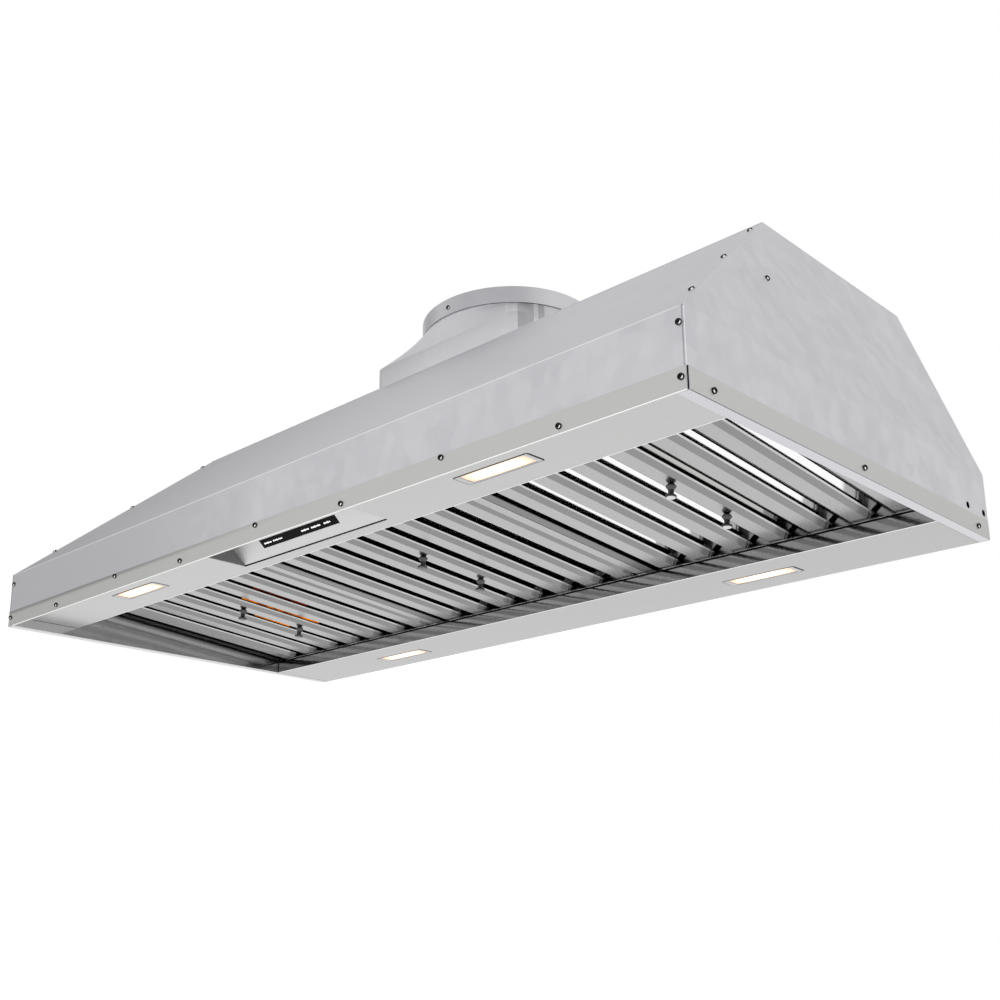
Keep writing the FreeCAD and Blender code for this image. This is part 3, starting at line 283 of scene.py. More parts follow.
def grained(name, dark, light, rough, metallic=0.0):
    """Moulded, painted or plated surface with a fine grain."""
    material, tree, shader = new_material(name)
    shader.inputs["Metallic"].default_value = metallic
    zinc = place_group(tree, SPANGLE, Patch=120.0, Clouds=18.0)
    shade_between(tree, shader, zinc.outputs["Cloud"], dark, light)
    link(tree, mapped(tree, zinc.outputs["Cloud"], rough - 0.05, rough + 0.08), shader.inputs["Roughness"])
    raise_surface(tree, shader, zinc.outputs["Grain"], 0.03 * MM, 0.3)
    return material


def fade_along(material, tone, start, end):
    """Runs a finish to another tone along the length, as painted shade towards a darker tone and painted
    light towards a lighter one; gives the fade.
    """
    tree = material.node_tree
    base = shader_of(material).inputs["Base Color"]
    fade = place_group(tree, FADE, Tone=(*tone, 1.0), Start=start, End=end)
    link(tree, base.links[0].from_socket, fade.inputs["Colour"])
    link(tree, fade.outputs["Colour"], base)
    return fade


# Finishes of single pieces
ALONG_X = (5.0, 420.0, 420.0)
ALONG_Y = (420.0, 5.0, 420.0)
SHEET_ROUGH = 0.44
BAND_ROUGH = 0.36
CASING_TONES = ((0.490, 0.490, 0.515), (0.665, 0.662, 0.685))
BAND_TONES = ((0.475, 0.475, 0.465), (0.54, 0.54, 0.53))


def lit_diffuser():
    """Frosted panel: white in its middle, warm towards its edge."""
    material, tree, shader = new_material("lit_diffuser")
    shader.inputs["Roughness"].default_value = 0.55
    zinc = place_group(tree, SPANGLE, Patch=200.0, Clouds=40.0)
    shade_between(tree, shader, zinc.outputs["Cloud"], (0.50, 0.46, 0.40), (0.56, 0.52, 0.46))
    squareness = 5.0
    away = []
    for axis, reach in (("X", 0.452), ("Y", 0.395)):
        centred = math_node(tree, "SUBTRACT", axis_value(tree, "Generated", axis), 0.5)
        share = math_node(tree, "DIVIDE", math_node(tree, "ABSOLUTE", centred, 0.0), reach)
        away.append(math_node(tree, "POWER", share, squareness))
    rounded = math_node(tree, "POWER", math_node(tree, "ADD", *away), 1.0 / squareness)
    white = (1.0, 0.97, 0.90)
    orange = (0.95, 0.47, 0.18)
    brown = (0.34, 0.17, 0.16)
    warm = colour_mix(tree, ramp(tree, rounded, 0.58, 0.96), white, orange)
    glow = colour_mix(tree, ramp(tree, rounded, 0.90, 1.03), warm, brown)
    link(tree, glow, shader.inputs["Emission Color"])
    shader.inputs["Emission Strength"].default_value = 1.15
    raise_surface(tree, shader, zinc.outputs["Grain"], 0.03 * MM, 0.3)
    return material


def black_glass():
    """Black-backed glass with a soft sheen."""
    material, tree, shader = new_material("black_glass")
    zinc = place_group(tree, SPANGLE, Patch=60.0, Clouds=12.0)
    shade_between(tree, shader, zinc.outputs["Cloud"], (0.002, 0.002, 0.002), (0.004, 0.004, 0.004))
    link(tree, mapped(tree, zinc.outputs["Cloud"], 0.2, 0.3), shader.inputs["Roughness"])
    shader.inputs["Specular IOR Level"].default_value = 0.06
    return material


def lit_marks():
    """White printed marks with light behind them."""
    material, tree, shader = new_material("lit_marks")
    zinc = place_group(tree, SPANGLE, Patch=300.0, Clouds=90.0)
    shade_between(tree, shader, zinc.outputs["Cloud"], (0.85, 0.85, 0.85), (0.95, 0.95, 0.95))
    shader.inputs["Emission Color"].default_value = (1.0, 1.0, 1.0, 1.0)
    shader.inputs["Emission Strength"].default_value = 0.6
    return material


def shadowed_band():
    """Brushed band with a painted shadow along its upper edge, deepening towards the left end."""
    material = brushed("band_steel", *BAND_TONES, BAND_ROUGH, ALONG_X)
    fade = fade_along(material, (0.12, 0.12, 0.12), 0.15, -0.35)
    tree = material.node_tree
    upper = ramp(tree, axis_value(tree, "Object", "Z"), 0.0150, 0.0215, 0.0, 0.58)
    link(tree, upper, fade.inputs["Amount"])
    return material


def shaded_slope():
    """Zinc of the front slope, seen almost edge on, with painted shade that darkens it towards the left end.
    """
    material = galvanised("slope_zinc", (0.530, 0.530, 0.555), (0.620, 0.617, 0.640), SHEET_ROUGH)
    fade_along(material, (0.37, 0.37, 0.385), 0.45, -0.6)
    shader_of(material).inputs["Specular Tint"].default_value = (0.9, 0.9, 0.91, 1.0)
    return material


def ring_zinc():
    """Zinc of the round collar, with painted light that makes it lighter towards both sides."""
    material = galvanised("collar_zinc", (0.385, 0.385, 0.405), (0.465, 0.465, 0.485), 0.34)
    fade_along(material, (0.64, 0.64, 0.66), 0.03, -0.07)
    fade_along(material, (0.57, 0.57, 0.59), 0.092, 0.12)
    return material


def shaded_hood():
    """Hood with a painted reflection of a greyer part of the room, running to black painted shade at its
    foot.
    """
    material = brushed("hood_grey", (0.44, 0.44, 0.435), (0.54, 0.54, 0.53), 0.1, ALONG_Y)
    fade_along(material, (0.012, 0.011, 0.010), 0.3970, 0.3925)
    return material


def plated_screws():
    """Dark bright-plated screws with a painted glint on one side of the head."""
    material = grained("plated_screw", (0.008, 0.008, 0.008), (0.05, 0.05, 0.05), 0.22, metallic=1.0)
    tree = material.node_tree
    base = shader_of(material).inputs["Base Color"]
    turned = new_node(tree, "ShaderNodeVectorMath", operation="DOT_PRODUCT")
    link(tree, new_node(tree, "ShaderNodeNewGeometry").outputs["Normal"], turned.inputs[0])
    turned.inputs[1].default_value = (0.60, -0.65, -0.47)
    glint = ramp(tree, turned.outputs["Value"], 0.88, 0.97)
    link(tree, colour_mix(tree, glint, base.links[0].from_socket, (0.95, 0.95, 0.95)), base)
    return material


def warm_glow(name, dark, light):
    """Steel with a glowing painted reflection of warm lamp light."""
    material, tree, shader = new_material(name)
    shader.inputs["Metallic"].default_value = 1.0
    lines = place_group(tree, BRUSH_LINES, Stretch=ALONG_Y, Clouds=30.0)
    shade_between(tree, shader, lines.outputs["Shade"], (0.05, 0.02, 0.01), (0.10, 0.04, 0.02))
    link(tree, mapped(tree, lines.outputs["Cloud"], 0.2, 0.35), shader.inputs["Roughness"])
    glow = colour_mix(tree, ramp(tree, lines.outputs["Cloud"], 0.35, 0.6), dark, light)
    link(tree, glow, shader.inputs["Emission Color"])
    shader.inputs["Emission Strength"].default_value = 0.9
    return material


casing_zinc = galvanised("casing_zinc", *CASING_TONES, SHEET_ROUGH)
# Skirt zinc with painted shade that darkens it towards the left end.
skirt_zinc = galvanised("skirt_zinc", *CASING_TONES, SHEET_ROUGH)
fade_along(skirt_zinc, (0.505, 0.505, 0.525), 0.06, -0.3)
slope_zinc = shaded_slope()
# Duct zinc: a lighter copy of the casing zinc as painted light, with painted shade towards the left end.
duct_zinc = galvanised("duct_zinc", (0.570, 0.570, 0.595), (0.660, 0.657, 0.680), SHEET_ROUGH)
fade_along(duct_zinc, (0.555, 0.555, 0.575), -0.01, -0.12)
# Darker zinc for the duct's bands of painted dark reflection.
reflection_band_zinc = galvanised("reflection_band_zinc", (0.37, 0.37, 0.385), (0.45, 0.45, 0.465), SHEET_ROUGH)
collar_zinc = ring_zinc()
# Painted highlight: lighter zinc on rolled folds and on the strip beside the front seam.
fold_zinc = galvanised("fold_zinc", (0.72, 0.72, 0.74), (0.82, 0.82, 0.84), 0.3)
strip_steel = brushed("strip_steel", (0.475, 0.475, 0.475), (0.555, 0.555, 0.55), 0.3, ALONG_X)
rear_strip = brushed("rear_strip", (0.41, 0.41, 0.41), (0.48, 0.48, 0.48), 0.3, ALONG_X)
plate_steel = brushed("plate_steel", (0.66, 0.66, 0.66), (0.74, 0.74, 0.735), 0.55, ALONG_X)
band_steel = shadowed_band()
rail_band = brushed("rail_band", *BAND_TONES, BAND_ROUGH, ALONG_Y)
rim_steel = brushed("rim_steel", (0.56, 0.56, 0.59), (0.64, 0.64, 0.67), 0.26, ALONG_Y)
side_wall = brushed("side_wall", (0.42, 0.42, 0.42), (0.58, 0.58, 0.58), 0.13, ALONG_Y)
rear_wall = brushed("rear_wall", (0.30, 0.30, 0.30), (0.52, 0.52, 0.52), 0.09, ALONG_X)
# Painted highlight: near-white steel on rolled folds and along the front strip's rear edge.
fold_steel = brushed("fold_steel", (0.97, 0.97, 0.97), (1.0, 1.0, 1.0), 0.14, ALONG_X)
# Painted shade: dark grey lines below the bands, pocket cheeks and the filters' left rails.
edge_grey = brushed("edge_grey", (0.16, 0.16, 0.16), (0.22, 0.22, 0.22), 0.3, ALONG_Y)
bar_face = brushed("bar_face", (0.40, 0.40, 0.40), (0.48, 0.48, 0.48), 0.27, ALONG_Y)
# Copy of the bar steel in painted shade, for the flared walls.
bar_side = brushed("bar_side", (0.25, 0.25, 0.25), (0.31, 0.31, 0.31), 0.24, ALONG_Y)
# Copy of the bar steel with painted light, for the lips of the walls and the leftmost rail's edge.
bar_lip = brushed("bar_lip", (0.52, 0.52, 0.52), (0.62, 0.62, 0.62), 0.24, ALONG_Y)
# Painted shade on the frames between the bars and on their upright faces.
frame_dark = brushed("frame_dark", (0.14, 0.14, 0.14), (0.26, 0.26, 0.26), 0.16, ALONG_X)
# Polished steel of the hoods' undersides, made near white as painted light.
hood_mirror = brushed("hood_mirror", (0.90, 0.90, 0.90), (0.97, 0.97, 0.97), 0.1, ALONG_Y)
hood_grey = shaded_hood()
warm_orange = warm_glow("warm_orange", (0.20, 0.03, 0.004), (0.95, 0.26, 0.02))
warm_red = warm_glow("warm_red", (0.03, 0.003, 0.001), (0.12, 0.012, 0.004))
# Painted shade: near black, on joints, gaps and inner faces that lie in shade, and in dark reflections on the
# hoods.
painted_shade_black = brushed("painted_shade_black", (0.006, 0.006, 0.006), (0.014, 0.013, 0.012), 0.5, ALONG_Y)
plated_screw = plated_screws()
plated_knob = grained("plated_knob", (0.05, 0.05, 0.05), (0.13, 0.13, 0.13), 0.2, metallic=1.0)
# Painted highlight on the feet of the right filter's knobs: a light copy of the knob metal.
knob_foot = grained("knob_foot", (0.55, 0.55, 0.55), (0.75, 0.75, 0.75), 0.16, metallic=1.0)
mill_aluminium = brushed("mill_aluminium", (0.62, 0.62, 0.63), (0.74, 0.74, 0.75), 0.35, ALONG_X)
motor_black = grained("motor_black", (0.03, 0.03, 0.033), (0.06, 0.06, 0.065), 0.45)
board_green = grained("board_green", (0.015, 0.09, 0.04), (0.03, 0.16, 0.07), 0.4)
grommet_black = grained("grommet_black", (0.015, 0.015, 0.015), (0.035, 0.035, 0.035), 0.7)
case_black = grained("case_black", (0.02, 0.02, 0.021), (0.04, 0.04, 0.042), 0.5)
lamp_glow = lit_diffuser()
display_black = black_glass()
mark_white = lit_marks()


def paint(names, material):
    """Gives CAD nodes a finish."""
    for name in names:
        data = nodes[name].data
        data.materials.clear()
        data.materials.append(material)


# Working copies of CAD pieces
WELD_REACH = 2e-6
CUT_REACH = 1e-6
LEVEL_ANGLE = math.radians(0.5)
BEND_ANGLE = math.radians(15)
ROUND_STEPS = 4
ROLLED_SLOT = 1


def copied(name):
    """Working copy of a CAD node's mesh."""
    work = bmesh.new()
    work.from_mesh(nodes[name].data)
    return work


def weld(work):
    """Joins doubled corners."""
    bmesh.ops.remove_doubles(work, verts=work.verts, dist=WELD_REACH)


def levelled(name):
    """Working copy with its doubled corners joined and each level face in one."""
    work = copied(name)
    weld(work)
    bmesh.ops.dissolve_limit(work, angle_limit=LEVEL_ANGLE, verts=work.verts, edges=work.edges)
    return work


def across_x(place):
    """Plane square to the length, for a cut."""
    return (place, 0.0, 0.0), (1.0, 0.0, 0.0)


def across_y(place):
    """Plane square to the depth, for a cut."""
    return (0.0, place, 0.0), (0.0, 1.0, 0.0)


def across_z(place):
    """Level plane, for a cut."""
    return (0.0, 0.0, place), (0.0, 0.0, 1.0)


def cut(work, planes):
    """Splits the faces along planes."""
    for point, normal in planes:
        everything = work.verts[:] + work.edges[:] + work.faces[:]
        bmesh.ops.bisect_plane(work, geom=everything, dist=CUT_REACH, plane_co=point, plane_no=normal)


def along(line):
    """Direction of an edge."""
    return (line.verts[1].co - line.verts[0].co).normalized()


def is_bent(line):
    """Whether two faces meet at an angle along an edge."""
    return len(line.link_faces) == 2 and line.calc_face_angle() >= BEND_ANGLE


def round_edges(work, edges, offset, **options):
    """Rounds edges; gives the new faces."""
    made = bmesh.ops.bevel(
        work,
        geom=edges,
        offset=offset,
        offset_type="OFFSET",
        segments=ROUND_STEPS,
        profile=0.5,
        affect="EDGES",
        **options,
    )
    return made["faces"]


# Sheet pieces with rolled folds
CASING_FOLD = 0.9 * MM
STEEL_FOLD = 0.6 * MM
NO_FOLD = 0.0
SHORTEST_FOLD = 20 * MM
FOLD_ROOM = 2.2
FOLDED_SHARP = 35
PLAIN_SHARP = 20
LEVELLED_BELOW = 40


def face_width(face):
    """Mean width of a long face."""
    return 2.0 * face.calc_area() / max(face.calc_perimeter(), 1e-9)


def dressed(name, body, finishes, fold, choose, cuts=(), rolled=None):
    """Copy of a sheet piece with rolled folds, which stands for its CAD node.

    The first finish is the sheet's, the second its folds'. Choose gives the finish of a face and rolled
    that of a fold; cuts are planes that split the faces between two finishes.
    """
    work = levelled(name)
    cut(work, cuts)
    for face in work.faces:
        face.material_index = finishes.index(choose(face.normal, face.calc_center_median()))
    if fold:
        rolls = roll_folds(work, fold)
        for face in rolls if rolled else ():
            longest = max(face.edges, key=lambda line: line.calc_length())
            face.material_index = finishes.index(rolled(along(longest), face.calc_center_median()))
    return stand_in(name, body, work, finishes, FOLDED_SHARP if fold else PLAIN_SHARP)


def roll_folds(work, fold):
    """Rounds the long folds between wide faces; gives the rolled faces."""
    widths = {face: face_width(face) for face in work.faces}
    folds = []
    for line in work.edges:
        if not is_bent(line) or line.calc_length() <= SHORTEST_FOLD:
            continue
        if min(widths[face] for face in line.link_faces) > FOLD_ROOM * fold:
            folds.append(line)
    return round_edges(work, folds, fold, clamp_overlap=False, material=ROLLED_SLOT)


def stand_in(name, body, work, finishes, sharp=FOLDED_SHARP):
    """Object made of a mesh, which stands for a CAD node."""
    mesh = bpy.data.meshes.new(name + "_sheet")
    work.to_mesh(mesh)
    work.free()
    for finish in finishes:
        mesh.materials.append(finish)
    if "custom_normal" in mesh.attributes:
        mesh.attributes.remove(mesh.attributes["custom_normal"])
    mesh.shade_smooth()
    mesh.set_sharp_from_angle(angle=math.radians(sharp))
    piece = bpy.data.objects.new(name + "_sheet", mesh)
    bpy.context.scene.collection.objects.link(piece)
    if sharp < LEVELLED_BELOW:
        level = piece.modifiers.new("level_faces", "WEIGHTED_NORMAL")
        level.keep_sharp = True
    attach(piece, body)
    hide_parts(name)
    return piece


# Casing; a normal or direction past SQUARE_ON counts as lying along an axis
SQUARE_ON = 0.7
LEANING = 0.2
LOOKS_UP = 0.1
LOOKS_DOWN = -0.9
OUTER_SIDE = 0.585
SKIRT_TOP = 0.08


def slope_part(sheet):
    """Choice between the finish of the front slope and that of the sheet."""

    def part(normal, middle):
        return slope_zinc if normal.z > LEANING and normal.y < -LEANING else sheet

    return part


def side_part(normal, middle):
    """Narrow strip beside the front seam in painted highlight, and the rest."""
    beside = normal.y < -SQUARE_ON and abs(middle.x) > OUTER_SIDE and middle.z < SKIRT_TOP
    return fold_zinc if beside else casing_zinc


def side_fold(way, middle):
    """Upright folds carry the painted highlight; the long one does not."""
    return fold_zinc if abs(way.z) > SQUARE_ON else casing_zinc


def casing():
    for name in ("front_panel", "rear_panel", "top_panel"):
        sheet = skirt_zinc if name == "front_panel" else casing_zinc
        finishes = (sheet, fold_zinc, slope_zinc)
        dressed(name, LINER, finishes, CASING_FOLD, slope_part(sheet))
    for name in ("left_side_panel", "right_side_panel"):
        piece = dressed(name, LINER, (casing_zinc, fold_zinc), CASING_FOLD, side_part, rolled=side_fold)
    duct()
    collar()


# Duct; its bands of painted dark reflection are measured along a line across the right front corner
DUCT_ACROSS = Vector((0.754, 0.657, 0.0))
DUCT_BANDS = ((0.1067, 0.1281), (0.1341, 0.1424))
BANDS_LEFT = 0.05
BANDS_REAR = 0.1
BANDS_FOOT = 0.31
DUCT_SHARP = 60
DUCT_MIDDLE = Vector((0.0, 0.14))
COLLAR_STEP = (0.12325, 0.1236)
COLLAR_RADIUS = 0.124


def duct_part(middle):
    """Upright bands of painted dark reflection on the right front corner, standing for the dark room behind,
    and the rest.
    """
    if middle.x < BANDS_LEFT or middle.y > BANDS_REAR or middle.z < BANDS_FOOT:
        return duct_zinc
    place = middle.dot(DUCT_ACROSS)
    return reflection_band_zinc if any(start < place < end for start, end in DUCT_BANDS) else duct_zinc


def duct():
    """Transition that runs smoothly from its square base to the neck."""
    finishes = (duct_zinc, reflection_band_zinc)
    work = copied("duct_transition")
    weld(work)
    cut(work, [(DUCT_ACROSS * limit, DUCT_ACROSS) for band in DUCT_BANDS for limit in band])
    for face in work.faces:
        face.material_index = finishes.index(duct_part(face.calc_center_median()))
    stand_in("duct_transition", LINER, work, finishes, DUCT_SHARP)


def collar():
    """Plain ring round the neck, its small step drawn out to the full radius."""
    work = copied("duct_collar")
    inner, outer = COLLAR_STEP
    for corner in work.verts:
        out = corner.co.xy - DUCT_MIDDLE
        if inner < out.length < outer:
            corner.co.xy = DUCT_MIDDLE + out.normalized() * COLLAR_RADIUS
    weld(work)
    stand_in("duct_collar", LINER, work, (collar_zinc,))


# Bars of the filters, which lie on a plane that sinks towards the rear
BARS_FRONT = -0.192
BARS_REAR = 0.186
BARS_FRONT_LEVEL = 0.052
BARS_REAR_LEVEL = 0.020
SLANT = (BARS_REAR_LEVEL - BARS_FRONT_LEVEL) / (BARS_REAR - BARS_FRONT)


def above_plane(point):
    """Height of a point above the bars' plane."""
    return point.z - BARS_FRONT_LEVEL - SLANT * (point.y - BARS_FRONT)


def plane_at(height):
    """Plane at a height above the bars' plane, for a cut."""
    return (0.0, BARS_FRONT, BARS_FRONT_LEVEL + height), (0.0, -SLANT, 1.0)


# Underside
STRIP_EDGE = 0.1929
STRIP_LEFT_END = -0.5745
STRIP_REACH = 0.285
BAND_FROM = 0.29
REAR_JOINT = 0.0168
WALL_TOP = -2.5 * MM
RIM_FOLD_TOP = 3 * MM
PLATE_FOOT = 0.0155
GLASS_FOOT = Vector((0.0, -0.2218, 0.0243))
UP_SLOPE = Vector((0.0, -0.744, 0.668))
OUT_OF_GLASS = Vector((0.0, -0.668, -0.744))
DISPLAY_HEIGHT = 11.6 * MM
FRONT_STRIP_LEVEL = 0.0138
FLUSH_REACH = 0.4 * MM
BEZEL_FRONT_JOINT = 1.7 * MM
BEZEL_RIGHT_JOINT = 2.4 * MM


def strip_part(normal, middle):
    """Band on the outside, wall towards the filters, strip below with a painted highlight along its rear
    edge, and the dark joints in painted shade.
    """
    if middle.x < STRIP_LEFT_END and abs(middle.y) < STRIP_REACH:
        return painted_shade_black
    if abs(normal.y) < SQUARE_ON:
        if -STRIP_EDGE < middle.y < 0:
            return fold_steel
        return strip_steel if middle.y < 0 else rear_strip
    if abs(middle.y) > BAND_FROM:
        return band_steel
    return painted_shade_black if middle.y > 0 and middle.z > REAR_JOINT else rear_wall


def rail_part(normal, middle):
    """Band on the outside, wall towards the filters with painted shade along its top, rim below."""
    if abs(normal.x) < SQUARE_ON:
        return rim_steel
    if abs(middle.x) > OUTER_SIDE:
        return rail_band
    return painted_shade_black if above_plane(middle) > WALL_TOP else side_wall


def rail_fold(way, middle):
    """Thin line of painted shade below the band, and plain folds elsewhere."""
    return edge_grey if abs(middle.x) > OUTER_SIDE and middle.z < RIM_FOLD_TOP else rim_steel


def glass_part(normal, middle):
    """Black strip of the display, and the upper part in the plate's steel."""
    return plate_steel if (middle - GLASS_FOOT).dot(UP_SLOPE) > DISPLAY_HEIGHT else display_black


def plate_part(normal, middle):
    """Slanted plate, the cheeks of its pocket in painted shade, and the dark joint along its foot in painted
    shadow.
    """
    if abs(normal.x) > SQUARE_ON:
        return edge_grey
    return painted_shade_black if middle.z < PLATE_FOOT and normal.z > LOOKS_DOWN else plate_steel


def bezel(lamp):
    """Flush frame of a lamp, with painted shade as a dark joint along the front and the right end and on all
    faces but the flush one.
    """
    name = f"{lamp}_lamp_bezel"
    level = FRONT_STRIP_LEVEL if lamp.startswith("front") else 0.0
    flush = [point.co for point in nodes[name].data.vertices if point.co.z < level + FLUSH_REACH]
    front = min(point.y for point in flush) + BEZEL_FRONT_JOINT
    right = max(point.x for point in flush) - BEZEL_RIGHT_JOINT

    def part(normal, middle):
        if abs(normal.z) < SQUARE_ON or middle.z > level + FLUSH_REACH:
            return painted_shade_black
        return painted_shade_black if middle.y < front or middle.x > right else strip_steel

    cuts = [across_y(front), across_x(right)]
    dressed(name, LINER, (strip_steel, painted_shade_black), NO_FOLD, part, cuts)


def underside():
    finishes = (strip_steel, fold_steel, band_steel, rear_wall, rear_strip, painted_shade_black)
    joints = {"front_light_panel": across_y(-STRIP_EDGE), "rear_light_panel": across_z(REAR_JOINT)}
    for name, joint in joints.items():
        cuts = [across_x(STRIP_LEFT_END), joint]
        dressed(name, LINER, finishes, STEEL_FOLD, strip_part, cuts)
    finishes = (rail_band, edge_grey, side_wall, rim_steel, painted_shade_black)
    for name in ("left_side_rail", "right_side_rail"):
        top = [plane_at(WALL_TOP)]
        dressed(name, LINER, finishes, STEEL_FOLD, rail_part, top, rail_fold)
    finishes = (plate_steel, edge_grey, painted_shade_black)
    foot = [across_z(PLATE_FOOT)]
    dressed("control_plate", LINER, finishes, NO_FOLD, plate_part, foot)
    finishes = (display_black, plate_steel)
    upper = [(GLASS_FOOT + UP_SLOPE * DISPLAY_HEIGHT, UP_SLOPE)]
    dressed("touch_glass", LINER, finishes, NO_FOLD, glass_part, upper)
    paint(["touch_module"], case_black)
    for lamp in LAMPS:
        bezel(lamp)
        paint([f"{lamp}_lamp_diffuser"], lamp_glow)
        paint([f"{lamp}_lamp_housing"], case_black)
    display_marks()


# Marks on the display, in millimetres
MARK_ROWS = ((-74.0, -60.0), (-57.0, -39.0), (-3.0, 11.0), (15.0, 32.0), (38.0, 50.0))
MARK_HALVES = (1.1, 0.8, 1.2, 0.7, 1.0, 0.9)
MARK_PITCH = 3.0
MARK_WIDTH = 2.2
MARK_LEVEL = 5.4
MARK_LIFT = 0.2


def display_marks():
    """Rows of small upright bars on the black glass."""
    points = []
    faces = []
    for start, end in MARK_ROWS:
        count = round((end - start) / MARK_PITCH)
        for step in range(count):
            left = start + (end - start) * step / count
            right = left + MARK_WIDTH
            half = MARK_HALVES[step % len(MARK_HALVES)]
            first = len(points)
            for x, up in ((left, -half), (right, -half), (right, half), (left, half)):
                on_glass = GLASS_FOOT + UP_SLOPE * (MARK_LEVEL + up) * MM
                points.append(on_glass + OUT_OF_GLASS * MARK_LIFT * MM + Vector((x * MM, 0.0, 0.0)))
            faces.append((first, first + 1, first + 2, first + 3))
    mesh = bpy.data.meshes.new("display_marks")
    mesh.from_pydata(points, [], faces)
    mesh.materials.append(mark_white)
    piece = bpy.data.objects.new("display_marks", mesh)
    bpy.context.scene.collection.objects.link(piece)
    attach(piece, LINER)


# Filters
BAR_PITCH = 0.0528
BAR_HALF = 0.0145
BARS_EACH_WAY = 3
BAR_BOTTOM = -0.95
LIP_HEIGHT = 4.5 * MM
FILTER_PITCH = 0.384
FRAME_INNER = 0.178
FRAME_REAR = 0.17
OUTER_RAIL = -0.5615
OUTER_EDGE = -0.5705
# Painted reflections on the hoods: the greyer hood, the dark lines and the warm streaks.
GREY_HOOD = 0.4104
GREY_HALF = 0.022
DARK_LINES = ((0.4524, 0.4546), (0.3990, 0.4008))
STREAK_HALF = 0.012
STREAK_SIDE = 0.3
WARM_STREAKS = (
    (-0.3198, -0.057, 0.041, warm_red),
    (-0.3726, -0.038, 0.109, warm_orange),
    (-0.4254, 0.025, 0.093, warm_orange),
)
KNOB_ROUND = 1.5 * MM
KNOB_SHARP = 50
RING_RISE = 0.3


def bar_part(normal, middle):
    """Bottom face, flared wall in painted shade, its lip lighter with painted light, and the inside in
    painted shade.
    """
    if normal.z > LOOKS_UP:
        return painted_shade_black
    if normal.z < BAR_BOTTOM:
        return bar_face
    return bar_lip if above_plane(middle) > LIP_HEIGHT else bar_side


def from_filter(x):
    """Place across a filter, from its middle."""
    return x - FILTER_PITCH * round(x / FILTER_PITCH)


def from_bar(x):
    """Distance across from the middle of the nearest bar."""
    place = from_filter(x)
    return abs(place - BAR_PITCH * round(place / BAR_PITCH))


def frame_part(normal, middle):
    """Light face in line with the bars; painted shade between them, on the upright faces and along the left
    rails, with a painted light line at the outer edge of the leftmost rail.
    """
    if normal.z > -SQUARE_ON:
        if middle.x < OUTER_RAIL and normal.x > SQUARE_ON:
            return painted_shade_black
        return frame_dark if normal.y < -SQUARE_ON or normal.z > LOOKS_UP else bar_side
    if middle.x < OUTER_RAIL:
        return painted_shade_black if middle.x > OUTER_EDGE else bar_lip
    place = from_filter(middle.x)
    if middle.y > FRAME_REAR and abs(place) < FRAME_INNER:
        return bar_face if from_bar(middle.x) < BAR_HALF else frame_dark
    return edge_grey if place < -FRAME_INNER else bar_face


def frame_cuts(centre):
    """Planes between the light parts of a filter's frame and the parts in painted shade."""
    places = []
    for bar in range(-BARS_EACH_WAY, BARS_EACH_WAY + 1):
        for edge in (-BAR_HALF, BAR_HALF):
            places.append(centre + bar * BAR_PITCH + edge)
    places += [centre - FRAME_INNER, centre + FRAME_INNER, OUTER_EDGE]
    return [across_x(place) for place in places]


def hood_part(normal, middle):
    """Mirror-bright below, made near white as painted light, painted shade above, with one greyer hood, two
    dark lines and three warm streaks that are painted reflections.
    """
    if normal.z > LOOKS_UP or any(start < middle.x < end for start, end in DARK_LINES):
        return painted_shade_black
    if abs(middle.x - GREY_HOOD) < GREY_HALF:
        return hood_grey
    for place, start, end, finish in WARM_STREAKS:
        if normal.x > STREAK_SIDE and abs(middle.x - place) < STREAK_HALF and start < middle.y < end:
            return finish
    return hood_mirror


def hood_cuts(side):
    """Planes at the ends of the painted warm streaks in the left filter, and beside the painted dark lines
    elsewhere.
    """
    if side == "left":
        return [across_y(limit) for streak in WARM_STREAKS for limit in streak[1:3]]
    return [across_x(limit) for line in DARK_LINES for limit in line]


def rounded_knobs(name, body, finishes):
    """Copy of the turned knobs with rounded shoulders; the second finish is that of their feet."""
    work = levelled(name)
    for face in work.faces:
        face.material_index = 1 if face.normal.z < LOOKS_DOWN else 0
    rings = [line for line in work.edges if is_bent(line) and abs(along(line).z) < RING_RISE]
    round_edges(work, rings, KNOB_ROUND, clamp_overlap=True)
    return stand_in(name, body, work, finishes, KNOB_SHARP)


def filters():
    for index, side in enumerate(FILTERS):
        body = f"{side}_filter"
        finishes = (bar_face, bar_face, bar_side, painted_shade_black, bar_lip)
        cuts = [plane_at(LIP_HEIGHT)]
        dressed(f"{body}_lower_baffles", body, finishes, NO_FOLD, bar_part, cuts)
        finishes = (bar_face, bar_side, frame_dark, edge_grey, painted_shade_black, bar_lip)
        cuts = frame_cuts(FILTER_PITCH * (index - 1))
        dressed(f"{body}_frame", body, finishes, NO_FOLD, frame_part, cuts)
        finishes = (hood_mirror, painted_shade_black, hood_grey, warm_orange, warm_red)
        cuts = hood_cuts(side)
        dressed(f"{body}_upper_baffles", body, finishes, NO_FOLD, hood_part, cuts)
        # Only the right filter's knob feet carry the painted highlight.
        foot = knob_foot if side == "right" else plated_knob
        rounded_knobs(f"{body}_knobs", body, (plated_knob, foot))


def inner_works():
    for side in ("left", "right"):
        paint([f"{side}_blower_housing", f"{side}_blower_inlet"], casing_zinc)
        paint([f"{side}_impeller"], mill_aluminium)
        paint([f"{side}_motor"], motor_black)
    paint(["electrical_box", "electrical_box_cover"], casing_zinc)
    paint(["power_board"], board_green)
    paint(["run_capacitors", "front_damper_flap", "rear_damper_flap"], mill_aluminium)
    paint(["damper_rod"], strip_steel)
    paint(["supply_grommet"], grommet_black)
    paint(["front_screws", "side_screws", "rear_screws", "top_screws", "collar_screws"], plated_screw)


# Studio
FLOOR_REACH = 20.0
FLOOR_LEVEL = -1.25
EYE = Vector((1.1426, -1.1313, -0.4379))
AIM = Vector((0.0009, 0.0020, -0.0028))


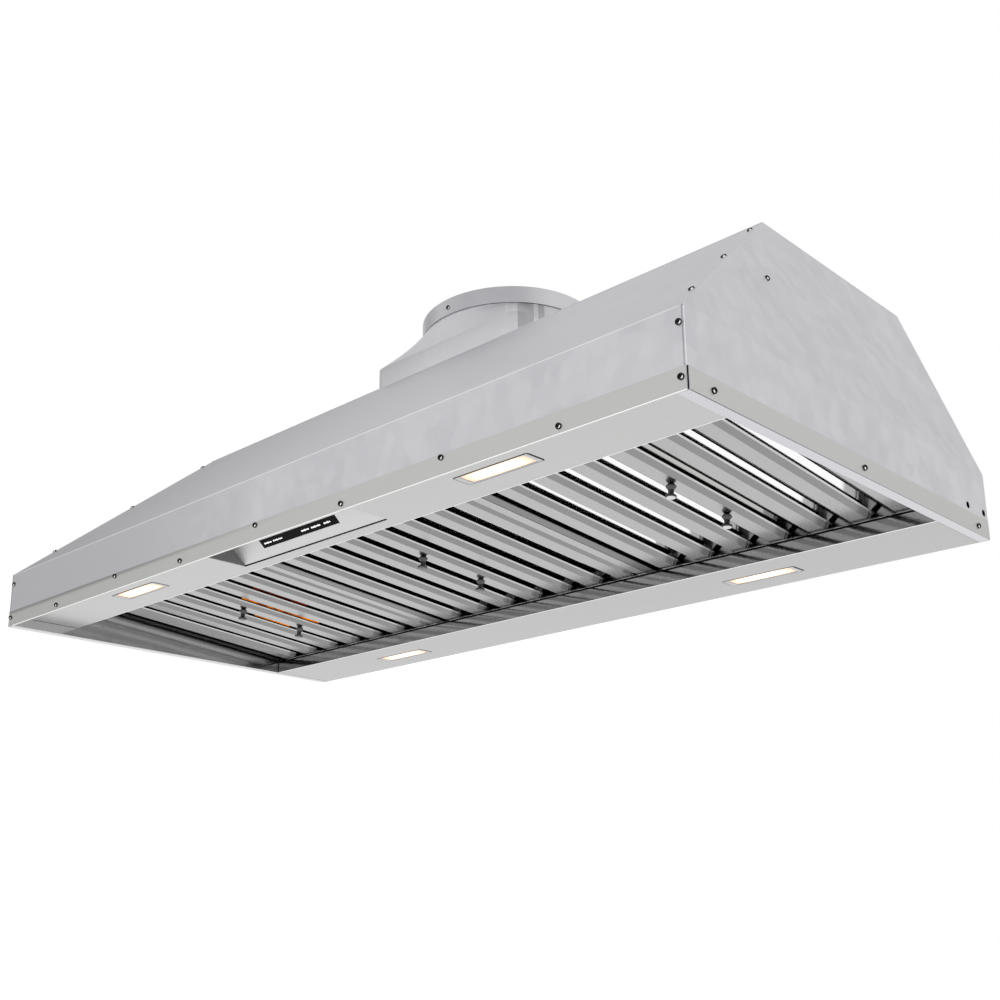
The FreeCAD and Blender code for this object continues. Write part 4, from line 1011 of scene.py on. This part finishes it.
def pale_floor():
    mesh = bpy.data.meshes.new("floor")
    signs = ((-1, -1), (1, -1), (1, 1), (-1, 1))
    corners = [(x * FLOOR_REACH, y * FLOOR_REACH, FLOOR_LEVEL) for x, y in signs]
    mesh.from_pydata(corners, [], [(0, 1, 2, 3)])
    floor = bpy.data.objects.new("floor", mesh)
    bpy.context.scene.collection.objects.link(floor)
    material, tree, shader = new_material("pale_floor")
    shader.inputs["Roughness"].default_value = 0.8
    cloud = place_group(tree, SPANGLE, Patch=4.0, Clouds=1.5)
    shade_between(tree, shader, cloud.outputs["Cloud"], (0.86, 0.86, 0.86), (0.88, 0.88, 0.88))
    shader.inputs["Emission Color"].default_value = (1.0, 1.0, 1.0, 1.0)
    shader.inputs["Emission Strength"].default_value = 0.25
    mesh.materials.append(material)


def soft_room():
    """White light from all round, weaker above, at the far left and at the rear."""
    world = bpy.data.worlds.new("soft_room")
    world.use_nodes = True
    tree = world.node_tree
    back = tree.nodes["Background"]
    back.inputs["Color"].default_value = (1.0, 1.0, 1.0, 1.0)
    height = ramp(tree, axis_value(tree, "Generated", "Z"), 0.1, 0.75, 1.13, 0.90)
    left = ramp(tree, axis_value(tree, "Generated", "X"), -1.0, -0.74, 0.2, 1.0)
    rear = ramp(tree, axis_value(tree, "Generated", "Y"), 0.75, 1.0, 1.0, 0.65)
    lit = math_node(tree, "MULTIPLY", height, math_node(tree, "MULTIPLY", left, rear))
    seen = new_node(tree, "ShaderNodeLightPath").outputs["Is Camera Ray"]
    link(tree, math_node(tree, "MAXIMUM", lit, seen), back.inputs["Strength"])
    bpy.context.scene.world = world


def photo_view():
    """Camera at the photograph's viewing angle."""
    data = bpy.data.cameras.new("photo_view")
    data.lens = 46.55
    data.sensor_width = 36.0
    data.shift_x = 0.0588
    data.shift_y = 0.0912
    data.clip_end = 100.0
    camera = bpy.data.objects.new("photo_view", data)
    camera.location = EYE
    camera.rotation_euler = (AIM - EYE).to_track_quat("-Z", "Y").to_euler()
    bpy.context.scene.collection.objects.link(camera)
    bpy.context.scene.camera = camera


def studio():
    pale_floor()
    soft_room()
    photo_view()
    bpy.context.scene.view_settings.view_transform = "Standard"


casing()
underside()
filters()
inner_works()
studio()
